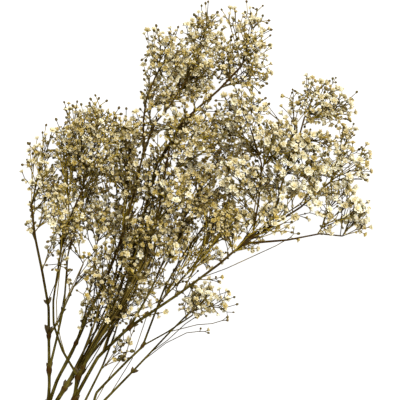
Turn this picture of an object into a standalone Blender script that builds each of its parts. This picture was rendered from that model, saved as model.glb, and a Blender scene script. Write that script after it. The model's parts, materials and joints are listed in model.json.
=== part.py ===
"""A picked and dried gypsophila stem, lying on its side.

A wiry woody stem forks into long thin branches, which carry loose sprays of small papery blooms.
Tables are in millimetres, and the objects are in metres with +Z up. The crown points along +Y.
The origin is the middle of the flat spot on which the heel of the stem lies.
"""

import math

import bmesh
import bpy
import numpy as np

MM = 0.001

# Wood. BRANCH_SIDES gives the number of sides of a branch whose root is thicker than each radius.
STEM_RADIUS = 2.3
STEM_SIDES = 8
BRANCH_SIDES = ((1.4, 6), (1.0, 5), (0.0, 4))
BRANCH_TAPER = 1.6
KNUCKLE_SIZE = 1.5
KNUCKLE_LENGTH = 4.5
KNUCKLE_END = 0.55
KNUCKLE_SIDES = 5
BRACTED_RADIUS = 1.15
BRACT_LENGTH = 8.0
BRACT_WIDTH = 2.6
BRACT_THICKNESS = 0.9
BRACT_CURL = 1.6
BRACT_SINK = 0.5
BRACT_SLANT = 0.9
BRACT_HEIGHT = 0.5
WOOD_COLOUR = (0.15, 0.10, 0.03)
WOOD_ROUGHNESS = 0.7

# Sprays
FIRST_SEED = 11
BLOOM_RADIUS = 6.4
BLOOM_HEIGHT = 5.4
BLOOM_PETALS = 5
PETAL_NOTCH = 0.6
PETAL_RISE = 0.24
BLOOM_TOP = 0.45
BLOOM_FOOT = 0.55
HEAD_LEAN = 0.2
BUD_RADIUS = 1.5
BUD_SIDES = 4
BUD_REACH = 1.4
TWIG_RADIUS = 0.45
TWIG_GROWTH = 0.16
TWIG_SIDES = 3
ROOT_TAPER = 0.45
TIPS_TOGETHER = 11
BUDS_TOGETHER = 3
CLOUD_CHOICES = 10
CLOUD_REACH = 0.98
CLOUD_EVENNESS = 0.42
OUTER_SHARE = 0.18
OUTER_REACH = 1.02
OUTER_SPREAD = 0.22
FIRST_FORK = 0.3
NEXT_FORK = 0.5
SEAT_GAP = 0.3
END_SEAT = 0.3
SIDE_SEAT = 0.75
REST_HEIGHT = 1.5
TWIG_HEIGHT = 1.0
RESTING_BLOOMS = 2
GROUND_DEPTH = 10
GROUND_REACH = 1000
BLOOM_COLOUR = (0.72, 0.65, 0.43)
BLOOM_ROUGHNESS = 0.85

# Bending the twigs clear of each other
CLEARANCE = 0.5
CROWDING = 0.75
BENDING_ROUNDS = 80
LOOK_AGAIN = 8
LOOK_BEYOND = 3.0
PUSH = 0.6

# Each branch: the one that it grows from, its radius at the root and at the tip, and the places that
# it passes. The first place is moved onto the line of the branch that carries it. Places at height
# zero are where the stem lies on the surface.
BRANCHES = {
    "main_stem": (None, STEM_RADIUS, 1.0, [
        (-4, -20, 0), (4, 20, 0), (6, 31, 0), (10, 55, 3.5), (14, 82, 6),
        (15, 100, 9), (17, 135, 13), (19, 162, 17), (19, 206, 22), (19, 230, 25), (14, 260, 28),
        (8, 291, 32), (5, 319, 36)]),
    "left_branch": ("main_stem", 1.2, 0.6, [
        (20, 176, 18), (26, 203, 27), (33, 233, 36), (37, 275, 47), (41, 291, 51), (51, 319, 57)]),
    "left_long_branch": ("main_stem", 0.9, 0.6, [
        (20, 206, 22), (27, 218, 20), (40, 248, 16), (60, 269, 13), (77, 280, 12)]),
    "centre_branch": ("main_stem", 1.6, 0.9, [
        (18, 144, 14), (26, 167, 20), (43, 200, 30), (53, 224, 38), (68, 252, 46), (81, 284, 54),
        (90, 314, 60), (97, 343, 64), (103, 366, 67)]),
    "top_left_branch": ("centre_branch", 0.9, 0.7, [
        (103, 366, 67), (102, 387, 74), (105, 408, 80), (113, 427, 82)]),
    "top_branch": ("centre_branch", 0.9, 0.7, [
        (103, 366, 67), (112, 388, 62), (124, 403, 56), (136, 422, 50), (146, 440, 46)]),
    "bundle_branch": ("main_stem", 2.0, 0.9, [
        (17, 135, 13), (28, 153, 15), (43, 177, 21), (63, 208, 30), (84, 238, 40), (95, 280, 52),
        (104, 318, 62), (114, 354, 72), (137, 390, 76), (165, 415, 74), (184, 435, 70)]),
    "long_right_branch": ("main_stem", 1.9, 0.8, [
        (15, 100, 9), (36, 139, 20), (45, 158, 26), (62, 188, 36), (90, 215, 46), (131, 243, 54),
        (166, 269, 58), (188, 288, 59), (210, 301, 57), (235, 317, 53), (260, 338, 48)]),
    "right_upright_branch": ("long_right_branch", 1.0, 0.7, [
        (210, 301, 57), (220, 341, 60), (231, 368, 60), (238, 393, 58)]),
    "right_low_branch": ("long_right_branch", 1.1, 0.6, [
        (186, 286, 59), (224, 289, 48), (252, 294, 38), (272, 292, 30)]),
    "right_inner_branch": ("long_right_branch", 0.9, 0.6, [
        (193, 293, 59), (199, 323, 70), (201, 353, 80), (192, 381, 86)]),
    "second_branch": ("long_right_branch", 1.7, 0.8, [
        (41, 150, 23), (44, 169, 28), (58, 196, 42), (83, 233, 60), (105, 274, 74), (116, 319, 84),
        (124, 366, 92)]),
    "left_inner_branch": ("second_branch", 1.1, 0.7, [
        (44, 171, 29), (32, 194, 38), (25, 217, 46), (25, 238, 50), (32, 280, 58), (39, 306, 64),
        (51, 332, 68)]),
    "middle_branch": ("long_right_branch", 1.0, 0.7, [
        (90, 215, 46), (107, 245, 42), (126, 288, 36), (141, 319, 32), (165, 357, 28)]),
    "low_right_branch": ("main_stem", 1.6, 0.7, [
        (15, 100, 9), (52, 134, 10), (90, 173, 13), (124, 209, 16), (141, 226, 18)]),
    "low_middle_branch": ("low_right_branch", 1.2, 0.7, [
        (54, 137, 10), (60, 156, 14), (88, 185, 19), (100, 197, 21), (119, 247, 24), (136, 277, 25),
        (154, 302, 24)]),
    "low_cross_twig": ("low_middle_branch", 0.7, 0.6, [
        (100, 197, 21), (121, 209, 27), (143, 224, 33)]),
    "low_front_branch": ("main_stem", 1.5, 0.7, [
        (14, 82, 6), (35, 119, 8), (52, 153, 10), (65, 179, 12), (76, 208, 14), (85, 242, 15)]),
    "bundle_inner_twig": ("bundle_branch", 0.8, 0.5, [
        (43, 177, 21), (57, 213, 26), (71, 243, 30), (79, 266, 32)]),
    "bundle_outer_twig": ("second_branch", 0.8, 0.5, [
        (50, 180, 32), (66, 212, 42), (80, 247, 52), (93, 276, 66)]),
    "centre_twig": ("centre_branch", 0.7, 0.5, [
        (43, 200, 30), (52, 229, 28), (58, 262, 26), (60, 283, 24)]),
    "left_cross_twig": ("left_long_branch", 0.6, 0.5, [
        (30, 226, 18), (41, 249, 22), (49, 268, 26)]),
    "bundle_side_twig": ("bundle_branch", 0.9, 0.5, [
        (32, 160, 17), (48, 191, 18), (64, 216, 20)]),
}

# Each spray: the branch that carries it, how far along that branch, the middle and the half sizes of
# its cloud of blooms, and the number of blooms and buds that the living spray has.
SPRAYS = {
    "top_right_spray": ("bundle_branch", 1.0, (193, 458, 68), (17, 28, 22), 58),
    "top_right_low_spray": ("bundle_branch", 0.93, (195, 428, 50), (15, 13, 15), 26),
    "top_spray": ("top_branch", 1.0, (155, 462, 44), (17, 24, 20), 66),
    "top_back_spray": ("top_branch", 0.62, (141, 430, 24), (17, 14, 24), 40),
    "top_left_spray": ("top_left_branch", 1.0, (123, 443, 82), (18, 24, 20), 66),
    "top_left_low_spray": ("top_left_branch", 0.48, (120, 413, 68), (19, 16, 14), 44),
    "crown_spray": ("second_branch", 1.0, (136, 378, 98), (19, 24, 14), 64),
    "crown_left_spray": ("bundle_branch", 0.8, (101, 383, 92), (13, 15, 12), 30),
    "right_of_centre_spray": ("right_inner_branch", 1.0, (185, 398, 92), (22, 18, 14), 58),
    "ridge_spray": ("right_inner_branch", 0.62, (211, 374, 90), (16, 14, 14), 36),
    "front_right_spray": ("right_inner_branch", 0.3, (182, 343, 84), (18, 17, 14), 46),
    "right_high_spray": ("right_upright_branch", 1.0, (255, 405, 56), (25, 20, 20), 62),
    "right_high_back_spray": ("right_upright_branch", 0.72, (228, 401, 40), (11, 18, 14), 22),
    "right_spray": ("long_right_branch", 1.0, (270, 353, 48), (22, 18, 20), 62),
    "right_mid_spray": ("right_upright_branch", 0.45, (235, 354, 74), (21, 20, 14), 44),
    "right_back_spray": ("right_upright_branch", 0.34, (207, 338, 38), (18, 18, 14), 40),
    "right_under_spray": ("long_right_branch", 0.82, (231, 325, 70), (21, 14, 12), 38),
    "right_edge_spray": ("right_low_branch", 0.74, (268, 320, 38), (21, 20, 17), 54),
    "right_tip_spray": ("right_low_branch", 1.0, (285, 311, 22), (12, 13, 18), 30),
    "middle_spray": ("middle_branch", 1.0, (170, 367, 22), (20, 20, 20), 48),
    "heart_spray": ("middle_branch", 0.55, (150, 331, 56), (22, 21, 14), 54),
    "front_spray": ("second_branch", 0.72, (127, 333, 96), (18, 20, 10), 42),
    "front_low_spray": ("second_branch", 0.52, (95, 275, 80), (15, 22, 11), 40),
    "centre_fan_spray": ("low_middle_branch", 1.0, (164, 318, 20), (22, 17, 19), 48),
    "hem_spray": ("long_right_branch", 0.48, (153, 286, 48), (22, 15, 12), 44),
    "low_heart_spray": ("low_middle_branch", 0.66, (128, 253, 12), (18, 14, 12), 32),
    "low_front_spray": ("low_front_branch", 1.0, (101, 256, 13), (19, 24, 13), 44),
    "low_left_spray": ("centre_branch", 0.48, (63, 265, 32), (14, 18, 11), 32),
    "left_high_spray": ("left_inner_branch", 1.0, (61, 374, 70), (26, 30, 22), 88),
    "left_high_right_spray": ("centre_branch", 0.78, (86, 373, 48), (14, 23, 15), 52),
    "left_mid_spray": ("left_long_branch", 1.0, (71, 321, 16), (20, 24, 18), 54),
    "left_centre_spray": ("left_branch", 1.0, (49, 342, 36), (22, 23, 12), 52),
    "left_low_spray": ("left_inner_branch", 0.62, (36, 314, 84), (16, 22, 12), 38),
    "left_edge_spray": ("main_stem", 1.0, (15, 350, 36), (15, 28, 18), 44),
    "left_corner_spray": ("main_stem", 0.93, (24, 318, 16), (16, 14, 18), 30),
    "bottom_right_spray": ("low_right_branch", 1.0, (160, 235, 15), (20, 14, 16), 36),
    "bottom_right_front_spray": ("low_cross_twig", 1.0, (148, 241, 40), (14, 10, 10), 20),
    "low_small_spray": ("low_front_branch", 0.8, (55, 228, 28), (8, 12, 8), 16),
    "low_bud_spray": ("low_front_branch", 0.6, (82, 194, 15), (8, 14, 6), 16),
    "top_middle_spray": ("top_branch", 0.8, (139, 440, 64), (16, 14, 14), 38),
    "top_gap_spray": ("bundle_branch", 0.96, (174, 441, 56), (12, 18, 14), 34),
    "left_shoulder_spray": ("left_inner_branch", 0.84, (36, 371, 48), (13, 20, 14), 38),
    "centre_left_spray": ("centre_branch", 0.66, (92, 340, 48), (12, 20, 12), 36),
    "bundle_high_spray": ("bundle_branch", 0.56, (112, 342, 76), (14, 27, 12), 44),
    "crown_right_spray": ("second_branch", 0.88, (158, 382, 80), (14, 23, 13), 44),
    "ridge_back_spray": ("right_inner_branch", 0.78, (190, 370, 62), (12, 15, 14), 30),
    "right_between_spray": ("right_upright_branch", 0.8, (243, 371, 68), (24, 12, 14), 46),
    "left_under_spray": ("centre_twig", 1.0, (65, 305, 24), (17, 16, 12), 40),
    "heart_low_spray": ("bundle_outer_twig", 1.0, (108, 300, 84), (15, 16, 11), 40),
    "centre_low_spray": ("middle_branch", 0.4, (128, 297, 42), (16, 19, 12), 44),
    "hem_high_spray": ("long_right_branch", 0.56, (167, 309, 67), (17, 13, 11), 42),
    "hem_right_spray": ("long_right_branch", 0.68, (211, 306, 62), (20, 13, 12), 42),
    "left_foot_spray": ("left_cross_twig", 1.0, (36, 292, 34), (16, 12, 9), 28),
    "bundle_low_spray": ("bundle_inner_twig", 1.0, (88, 300, 34), (13, 20, 12), 40),
    "bundle_foot_spray": ("bundle_outer_twig", 0.5, (76, 240, 48), (12, 22, 10), 40),
    "low_knot_spray": ("bundle_side_twig", 1.0, (94, 232, 22), (16, 13, 9), 32),
    "hem_low_spray": ("low_middle_branch", 0.84, (160, 271, 28), (13, 9, 10), 20),
}

# The sprays on which the crown lies. Their lowest blooms touch the surface.
RESTING = ("left_mid_spray", "left_corner_spray", "low_front_spray", "low_heart_spray",
           "bottom_right_spray", "right_tip_spray", "centre_fan_spray", "middle_spray", "top_back_spray")


def unit(vector):
    """The vector at length one."""
    return vector / np.linalg.norm(vector)


def shares_along(line):
    """How far each point of a line is from its start, as a share of its whole length."""
    steps = np.linalg.norm(np.diff(line, axis=0), axis=1)
    return np.concatenate([[0.0], np.cumsum(steps)]) / steps.sum()


def place_on(line, share):
    """The point and the direction of a line at a share of its length."""
    along = shares_along(line)
    point = np.array([np.interp(share, along, line[:, axis]) for axis in range(3)])
    span = max(1, min(int(np.searchsorted(along, share)), len(line) - 1))
    return point, unit(line[span] - line[span - 1])


def nearest_on(line, place):
    """The point of a line that lies nearest to a place."""
    starts = line[:-1]
    spans = np.diff(line, axis=0)
    shares = np.clip(((place - starts) * spans).sum(1) / (spans ** 2).sum(1), 0, 1)
    points = starts + shares[:, None] * spans
    return points[np.argmin(np.linalg.norm(points - place, axis=1))]


def branch_courses():
    """The line of each branch, with its root on its carrier's line, and with the heel lying flat."""
    courses = {}
    for name, (carrier, _, _, places) in BRANCHES.items():
        line = np.array(places, float)
        if carrier:
            line[0] = nearest_on(courses[carrier], line[0])
        else:
            lying = line[:, 2] == 0
            line[lying, 2] = branch_radii(name, line)[lying] * math.cos(math.pi / STEM_SIDES)
        courses[name] = line
    return courses


def branch_radii(name, line):
    """The radius of a branch at each point of its line, which shrinks fastest near the root."""
    _, root, tip, _ = BRANCHES[name]
    return tip + (root - tip) * np.clip(1 - shares_along(line), 0, 1) ** BRANCH_TAPER


def branch_sides(name):
    """How many sides a branch has: fewer for a thinner one."""
    _, root, _, _ = BRANCHES[name]
    if name == "main_stem":
        return STEM_SIDES
    return next(sides for radius, sides in BRANCH_SIDES if root > radius)


def twig_radius(bears):
    """The radius of a twig that bears so many tips."""
    return TWIG_RADIUS * bears ** TWIG_GROWTH


def spray_tips(name):
    """The places of a spray's blooms, spread evenly in its cloud, and of its buds, just outside it."""
    _, _, middle, half, count = SPRAYS[name]
    draw = np.random.default_rng(list(SPRAYS).index(name) + FIRST_SEED)
    outer = int(count * OUTER_SHARE)
    tips = []
    for number in range(count):
        rays = draw.normal(size=(CLOUD_CHOICES, 3))
        rays /= np.linalg.norm(rays, axis=1)[:, None]
        depth = draw.random((CLOUD_CHOICES, 1))
        if number >= count - outer:
            choices = rays * (OUTER_REACH + OUTER_SPREAD * depth)
        else:
            choices = rays * CLOUD_REACH * depth ** CLOUD_EVENNESS
        if tips:
            gaps = np.linalg.norm(choices[:, None] - np.array(tips)[None], axis=2).min(1)
            tips.append(choices[np.argmax(gaps)])
        else:
            tips.append(choices[0])
    places = np.array(middle) + np.array(tips) * np.array(half)
    places[:, 2] = np.maximum(places[:, 2], REST_HEIGHT)
    return places, np.arange(count) >= count - outer


def parted(tips, places):
    """The tips beyond a knot, parted in two across their widest gap."""
    group = places[tips]
    gaps = np.linalg.norm(group[:, None] - group[None], axis=2)
    first, second = np.unravel_index(np.argmax(gaps), gaps.shape)
    order = np.argsort((group - group[first]) @ (group[second] - group[first]), kind="stable")
    half = (len(tips) + 1) // 2
    return [[tips[k] for k in order[:half]], [tips[k] for k in order[half:]]]


class Spray:
    """One spray: the points of its twigs, its twigs as runs of points, and its blooms and buds."""

    def __init__(self, name, courses):
        carrier, share, _, _, count = SPRAYS[name]
        self.name = name
        self.tips, self.is_bud = spray_tips(name)
        self.points = []
        self.bears = []
        self.twigs = []
        self.blooms = []
        self.buds = []
        foot, along = place_on(courses[carrier], share)
        radius = float(np.interp(share, shares_along(courses[carrier]),
                                 branch_radii(carrier, courses[carrier])))
        towards = self.tips.mean(0) - foot
        if share == 1.0:
            start = foot + along * (SEAT_GAP + END_SEAT * twig_radius(count))
        else:
            side = unit(towards - (towards @ along) * along)
            start = foot + side * (radius + SEAT_GAP + SIDE_SEAT * twig_radius(count))
        root = self.add_point(start, count)
        first = self.add_point(start + FIRST_FORK * (self.tips.mean(0) - start), count)
        self.grow([root, first], list(range(count)))
        if name in RESTING:
            heads = sorted(self.blooms, key=lambda tip: self.points[tip][2])
            for tip in heads[:RESTING_BLOOMS]:
                self.points[tip][2] = REST_HEIGHT

    def add_point(self, place, bears):
        """A new point, with the number of tips that its twig bears there."""
        self.points.append(np.array(place, float))
        self.bears.append(bears)
        return len(self.points) - 1

    def grow(self, run, tips):
        """Lengthen the run of a twig through its forks to its own tip, and grow the twigs beside it.

        At each fork the twig that turns least leads on.
        """
        knot = run[-1]
        if len(tips) <= TIPS_TOGETHER:
            self.end(run, tips)
            return
        ahead = self.points[knot] - self.points[run[-2]]
        groups = parted(tips, self.tips)
        groups.sort(key=lambda group: -unit(self.tips[group].mean(0) - self.points[knot]) @ ahead)
        for number, group in enumerate(groups):
            beyond = [knot] if number else run
            if len(group) > TIPS_TOGETHER:
                middle = self.tips[group].mean(0)
                fork = self.points[knot] + NEXT_FORK * (middle - self.points[knot])
                beyond = beyond + [self.add_point(fork, len(group))]
            self.grow(beyond, group)

    def end(self, run, tips):
        """End a twig in a bloom, and fork a bud from it where the spray reaches out."""
        knot = self.points[run[-1]]
        open_tips = [tip for tip in tips if not self.is_bud[tip]]
        bud_tips = [tip for tip in tips if self.is_bud[tip]]
        if open_tips and len(bud_tips) < BUDS_TOGETHER:
            bud_tips = []
        ends = []
        for group, kind in ((open_tips, self.blooms), (bud_tips, self.buds)):
            if group:
                reach = np.linalg.norm(self.tips[group] - knot, axis=1)
                ends.append((self.tips[group[int(np.argmax(reach))]], kind))
        if len(ends) == 2:
            middle = 0.5 * (ends[0][0] + ends[1][0])
            run = run + [self.add_point(knot + NEXT_FORK * (middle - knot), 2)]
        for number, (place, kind) in enumerate(ends):
            tip = self.add_point(place, 1)
            kind.append(tip)
            self.twigs.append((run if number == 0 else [run[-1]]) + [tip])


def closest_shares(start_a, span_a, start_b, span_b):
    """For pairs of straight twigs, how far along each its nearest point to the other is."""
    offset = start_a - start_b
    a = (span_a ** 2).sum(1) + 1e-9
    e = (span_b ** 2).sum(1) + 1e-9
    b = (span_a * span_b).sum(1)
    c = (span_a * offset).sum(1)
    f = (span_b * offset).sum(1)
    across = a * e - b * b
    s = np.clip(np.where(across > 1e-9, (b * f - c * e) / np.maximum(across, 1e-9), 0.0), 0, 1)
    t = np.clip((b * s + f) / e, 0, 1)
    s = np.clip((b * t - c) / a, 0, 1)
    return s, t


def rods_of(courses, sprays):
    """Every stretch of wood, twig, bloom and bud as a rod with round ends.

    A rod is two point numbers, two radii and its owner: 0 for the wood, and 1 upwards for each spray.
    """
    points, loose, lowest, rods = [], [], [], []

    def add_point(place, is_loose, low):
        points.append(place)
        loose.append(is_loose)
        lowest.append(low)

    for name, line in courses.items():
        radii = branch_radii(name, line)
        for number, place in enumerate(line):
            if number:
                rods.append((len(points) - 1, len(points), radii[number - 1], radii[number], 0))
            add_point(place, False, 0.0)
    for owner, spray in enumerate(sprays, start=1):
        spray.base = len(points)
        heads = {tip: BLOOM_RADIUS for tip in spray.blooms}
        heads.update({tip: BUD_RADIUS for tip in spray.buds})
        for number, place in enumerate(spray.points):
            low = REST_HEIGHT if number in heads else TWIG_HEIGHT
            add_point(place, number > 0, low)
        for twig in spray.twigs:
            for start, end in zip(twig, twig[1:]):
                radii = twig_radius(spray.bears[start]), twig_radius(spray.bears[end])
                rods.append((spray.base + start, spray.base + end, *radii, owner))
        for tip, radius in heads.items():
            rods.append((spray.base + tip, spray.base + tip, radius, radius, owner))
    return np.array(points), np.array(loose, float), np.array(lowest), rods


def short_gaps(points, rods, near):
    """For pairs of rods: how far each gap falls short, the line across it, and where it lies on both."""
    first, second, radius_a, radius_b, owner = rods
    i, j = near.T
    spans = points[second] - points[first]
    s, t = closest_shares(points[first[i]], spans[i], points[first[j]], spans[j])
    across = (points[first[i]] + s[:, None] * spans[i]) - (points[first[j]] + t[:, None] * spans[j])
    gap = np.maximum(np.linalg.norm(across, axis=1), 1e-6)
    thick = radius_a[i] + s * (radius_b[i] - radius_a[i]) + radius_a[j] + t * (radius_b[j] - radius_a[j])
    thick = np.where(owner[i] == owner[j], CROWDING * thick, thick + CLEARANCE)
    return thick - gap, across / gap[:, None], s, t


def neighbours(points, rods, seats):
    """The close pairs of rods that must be clear of each other: of two owners, or two heads.

    A spray's seat on the wood is left out, because it is set from the start.
    """
    first, second, radius_a, radius_b, owner = rods
    middle = 0.5 * (points[first] + points[second])
    reach = 0.5 * np.linalg.norm(points[first] - points[second], axis=1) + np.maximum(radius_a, radius_b)
    gap = np.linalg.norm(middle[:, None] - middle[None], axis=2)
    close = gap < reach[:, None] + reach[None] + CLEARANCE + LOOK_BEYOND
    head = first == second
    apart = (owner[:, None] < owner[None]) | np.triu(head[:, None] & head[None], 1)
    seated = (owner[:, None] == 0) & np.isin(first, seats)[None]
    return np.argwhere(close & apart & ~seated)


def bend_clear(courses, sprays):
    """Bend the twigs of the sprays until nothing crosses."""
    points, loose, lowest, rods = rods_of(courses, sprays)
    rods = [np.array(column) for column in zip(*rods)]
    first, second = rods[0], rods[1]
    seats = [spray.base for spray in sprays]
    for bend in range(BENDING_ROUNDS):
        if bend % LOOK_AGAIN == 0:
            near = neighbours(points, rods, seats)
        short, across, s, t = short_gaps(points, rods, near)
        hit = short > 0
        if not hit.any():
            break
        push = PUSH * across[hit] * short[hit][:, None]
        shift = np.zeros_like(points)
        weight = np.zeros(len(points))
        for side, share, sign in ((0, s[hit], 1.0), (1, t[hit], -1.0)):
            rod = near[hit, side]
            for ends, part in ((first[rod], 1 - share), (second[rod], share)):
                np.add.at(shift, ends, sign * push * part[:, None])
                np.add.at(weight, ends, part)
        points += shift / np.maximum(weight, 1.0)[:, None] * loose[:, None]
        held = loose > 0
        points[held, 2] = np.maximum(points[held, 2], lowest[held])
    for spray in sprays:
        spray.points = [points[spray.base + number] for number in range(len(spray.points))]


def side_frames(line):
    """Two sideways directions at each point of a line, carried along it without twisting."""
    steps = np.diff(line, axis=0)
    along = [unit(steps[0])]
    along += [unit(unit(a) + unit(b)) for a, b in zip(steps, steps[1:])]
    along += [unit(steps[-1])]
    side = np.array([0.0, 0.0, 1.0]) if abs(along[0][2]) < 0.9 else np.array([1.0, 0.0, 0.0])
    frames = []
    for direction in along:
        side = unit(side - (side @ direction) * direction)
        frames.append((side, np.cross(direction, side)))
    return frames


def tube(line, radii, sides):
    """A tube with flat ends along a line. One flat faces down where the line starts level."""
    line = np.array(line, float)
    corners, faces = [], []
    for point, radius, (side, other) in zip(line, radii, side_frames(line)):
        for corner in range(sides):
            turn = 2 * math.pi * (corner + 0.5) / sides
            corners.append(point + radius * (math.cos(turn) * side + math.sin(turn) * other))
    for ring in range(len(line) - 1):
        for corner in range(sides):
            beside = (corner + 1) % sides
            low, high = ring * sides, (ring + 1) * sides
            faces.append((low + corner, low + beside, high + beside, high + corner))
    faces.append(tuple(reversed(range(sides))))
    faces.append(tuple(range(len(corners) - sides, len(corners))))
    return corners, faces


def knuckle(middle, along, thickness):
    """A swollen knot on a stem: a short spindle along it."""
    radius = KNUCKLE_SIZE * thickness
    line = [middle + along * KNUCKLE_LENGTH * thickness * step for step in (-0.5, 0.0, 0.5)]
    return tube(line, [KNUCKLE_END * radius, radius, KNUCKLE_END * radius], KNUCKLE_SIDES)


def bract(root, outward, along):
    """A small dry bract: a thin pointed blade with its root sunk in a knot."""
    across = unit(np.cross(along, outward))
    face = unit(np.cross(across, outward))
    outline = [(0.0, 0.35), (0.35, 0.5), (1.0, 0.0), (0.35, -0.5), (0.0, -0.35)]
    corners, faces = [], []
    for level in (0.5, -0.5):
        for reach, spread in outline:
            curl = BRACT_CURL * reach ** 2
            place = root + outward * BRACT_LENGTH * reach + across * BRACT_WIDTH * spread
            corners.append(place + face * (curl + level * BRACT_THICKNESS))
    count = len(outline)
    faces.append(tuple(range(count)))
    faces.append(tuple(reversed(range(count, 2 * count))))
    for corner in range(count):
        beside = (corner + 1) % count
        faces.append((beside, corner, count + corner, count + beside))
    return corners, faces


def ring(middle, radii, rises, side, other, along):
    """A ring of corners round a point, each at its own radius and rise."""
    corners = []
    for number, (radius, rise) in enumerate(zip(radii, rises)):
        turn = 2 * math.pi * number / len(radii)
        spoke = math.cos(turn) * side + math.sin(turn) * other
        corners.append(middle + radius * spoke + rise * along)
    return corners


def ring_wall(low, low_count, high, high_count):
    """The triangles between two rings of corners that may differ in number."""
    faces = []
    i = j = 0
    while i < low_count or j < high_count:
        if j == high_count or (i < low_count and (i + 1) * high_count <= (j + 1) * low_count):
            faces.append((low + i % low_count, low + (i + 1) % low_count, high + j % high_count))
            i += 1
        else:
            faces.append((low + i % low_count, high + (j + 1) % high_count, high + j % high_count))
            j += 1
    return faces


def head_ring(is_bud):
    """The radii and the rises of the widest ring of a head, and how far its top and foot lie from it."""
    if is_bud:
        return [BUD_RADIUS] * BUD_SIDES, [0.0] * BUD_SIDES, BUD_REACH * BUD_RADIUS, BUD_REACH * BUD_RADIUS
    radii, rises = [], []
    for _ in range(BLOOM_PETALS):
        radii += [BLOOM_RADIUS, PETAL_NOTCH * BLOOM_RADIUS]
        rises += [PETAL_RISE * BLOOM_HEIGHT, 0.0]
    return radii, rises, BLOOM_TOP * BLOOM_HEIGHT, BLOOM_FOOT * BLOOM_HEIGHT


def twig_shape(line, radii, is_side, is_bud, lean):
    """A three-sided twig that ends in a bloom or a bud: a cupped star of petals, or a small drop."""
    line = np.array(line, float)
    along = unit(unit(line[-1] - line[-2]) + lean)
    ring_radii, rises, top, foot = head_ring(is_bud)
    place = line[-1]
    line[-1] = place - foot * along
    if is_side:
        radii[0] *= ROOT_TAPER
    corners, faces = [], []
    frames = side_frames(line)
    for point, radius, (side, other) in zip(line, radii, frames):
        corners += ring(point, [radius] * TWIG_SIDES, [0.0] * TWIG_SIDES, side, other, along)
    for span in range(len(line) - 1):
        faces += ring_wall(span * TWIG_SIDES, TWIG_SIDES, (span + 1) * TWIG_SIDES, TWIG_SIDES)
    faces.append(tuple(reversed(range(TWIG_SIDES))))
    neck = (len(line) - 1) * TWIG_SIDES
    side = unit(frames[-1][0] - (frames[-1][0] @ along) * along)
    wide = len(corners)
    corners += ring(place, ring_radii, rises, side, np.cross(along, side), along)
    faces += ring_wall(neck, TWIG_SIDES, wide, len(ring_radii))
    corners.append(place + top * along)
    for corner in range(len(ring_radii)):
        faces.append((wide + corner, wide + (corner + 1) % len(ring_radii), len(corners) - 1))
    return corners, faces


def solid(name, shape):
    """A new object from corners in millimetres and faces, with its faces pointing outwards."""
    corners, faces = shape
    mesh = bpy.data.meshes.new(name)
    mesh.from_pydata([tuple(corner * MM) for corner in np.array(corners)], [], faces)
    form = bmesh.new()
    form.from_mesh(mesh)
    bmesh.ops.recalc_face_normals(form, faces=form.faces[:])
    form.to_mesh(mesh)
    form.free()
    thing = bpy.data.objects.new(name, mesh)
    bpy.context.scene.collection.objects.link(thing)
    return thing


def applied(thing):
    """Replace an object's mesh by what its modifiers make of it."""
    shown = thing.evaluated_get(bpy.context.evaluated_depsgraph_get())
    mesh = bpy.data.meshes.new_from_object(shown)
    thing.modifiers.clear()
    thing.data = mesh
    mesh.name = thing.name


def one_body(thing):
    """Keep the largest connected body of an object, and drop what a cut left loose."""
    form = bmesh.new()
    form.from_mesh(thing.data)
    unseen = set(form.verts)
    bodies = []
    while unseen:
        body = {unseen.pop()}
        rim = list(body)
        while rim:
            corner = rim.pop()
            around = {link.other_vert(corner) for link in corner.link_edges} & unseen
            unseen -= around
            body |= around
            rim.extend(around)
        bodies.append(body)
    bodies.sort(key=len)
    for body in bodies[:-1]:
        bmesh.ops.delete(form, geom=list(body), context="VERTS")
    bmesh.ops.triangulate(form, faces=form.faces[:])
    form.to_mesh(thing.data)
    form.free()


def fuse(name, shapes, material):
    """One object from many overlapping shapes, joined by one Boolean union."""
    whole = solid(name, shapes[0])
    parts = bpy.data.collections.new(name + "_parts")
    for shape in shapes[1:]:
        part = solid(name + "_part", shape)
        parts.objects.link(part)
        bpy.context.scene.collection.objects.unlink(part)
    bpy.context.scene.collection.children.link(parts)
    union = whole.modifiers.new("union", "BOOLEAN")
    union.operation = "UNION"
    union.operand_type = "COLLECTION"
    union.collection = parts
    union.solver = "MANIFOLD"
    applied(whole)
    for part in list(parts.objects):
        bpy.data.objects.remove(part)
    bpy.data.collections.remove(parts)
    one_body(whole)
    whole.data.materials.clear()
    whole.data.materials.append(material)
    return whole


def level_underside(thing):
    """Cut an object off at the surface on which it rests, which leaves small flat spots there."""
    if min(corner.co.z for corner in thing.data.vertices) >= 0:
        return
    ground = solid("ground", tube([(0, 0, -GROUND_DEPTH), (0, 0, 0)], [GROUND_REACH] * 2, 4))
    cut = thing.modifiers.new("cut", "BOOLEAN")
    cut.operation = "DIFFERENCE"
    cut.object = ground
    cut.solver = "MANIFOLD"
    applied(thing)
    bpy.data.objects.remove(ground)
    one_body(thing)


def plain_material(name, colour, roughness):
    """A material of one colour."""
    material = bpy.data.materials.new(name)
    material.use_nodes = True
    shader = material.node_tree.nodes["Principled BSDF"]
    shader.inputs["Base Color"].default_value = (*colour, 1.0)
    shader.inputs["Roughness"].default_value = roughness
    shader.inputs["Metallic"].default_value = 0.0
    return material


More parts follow.
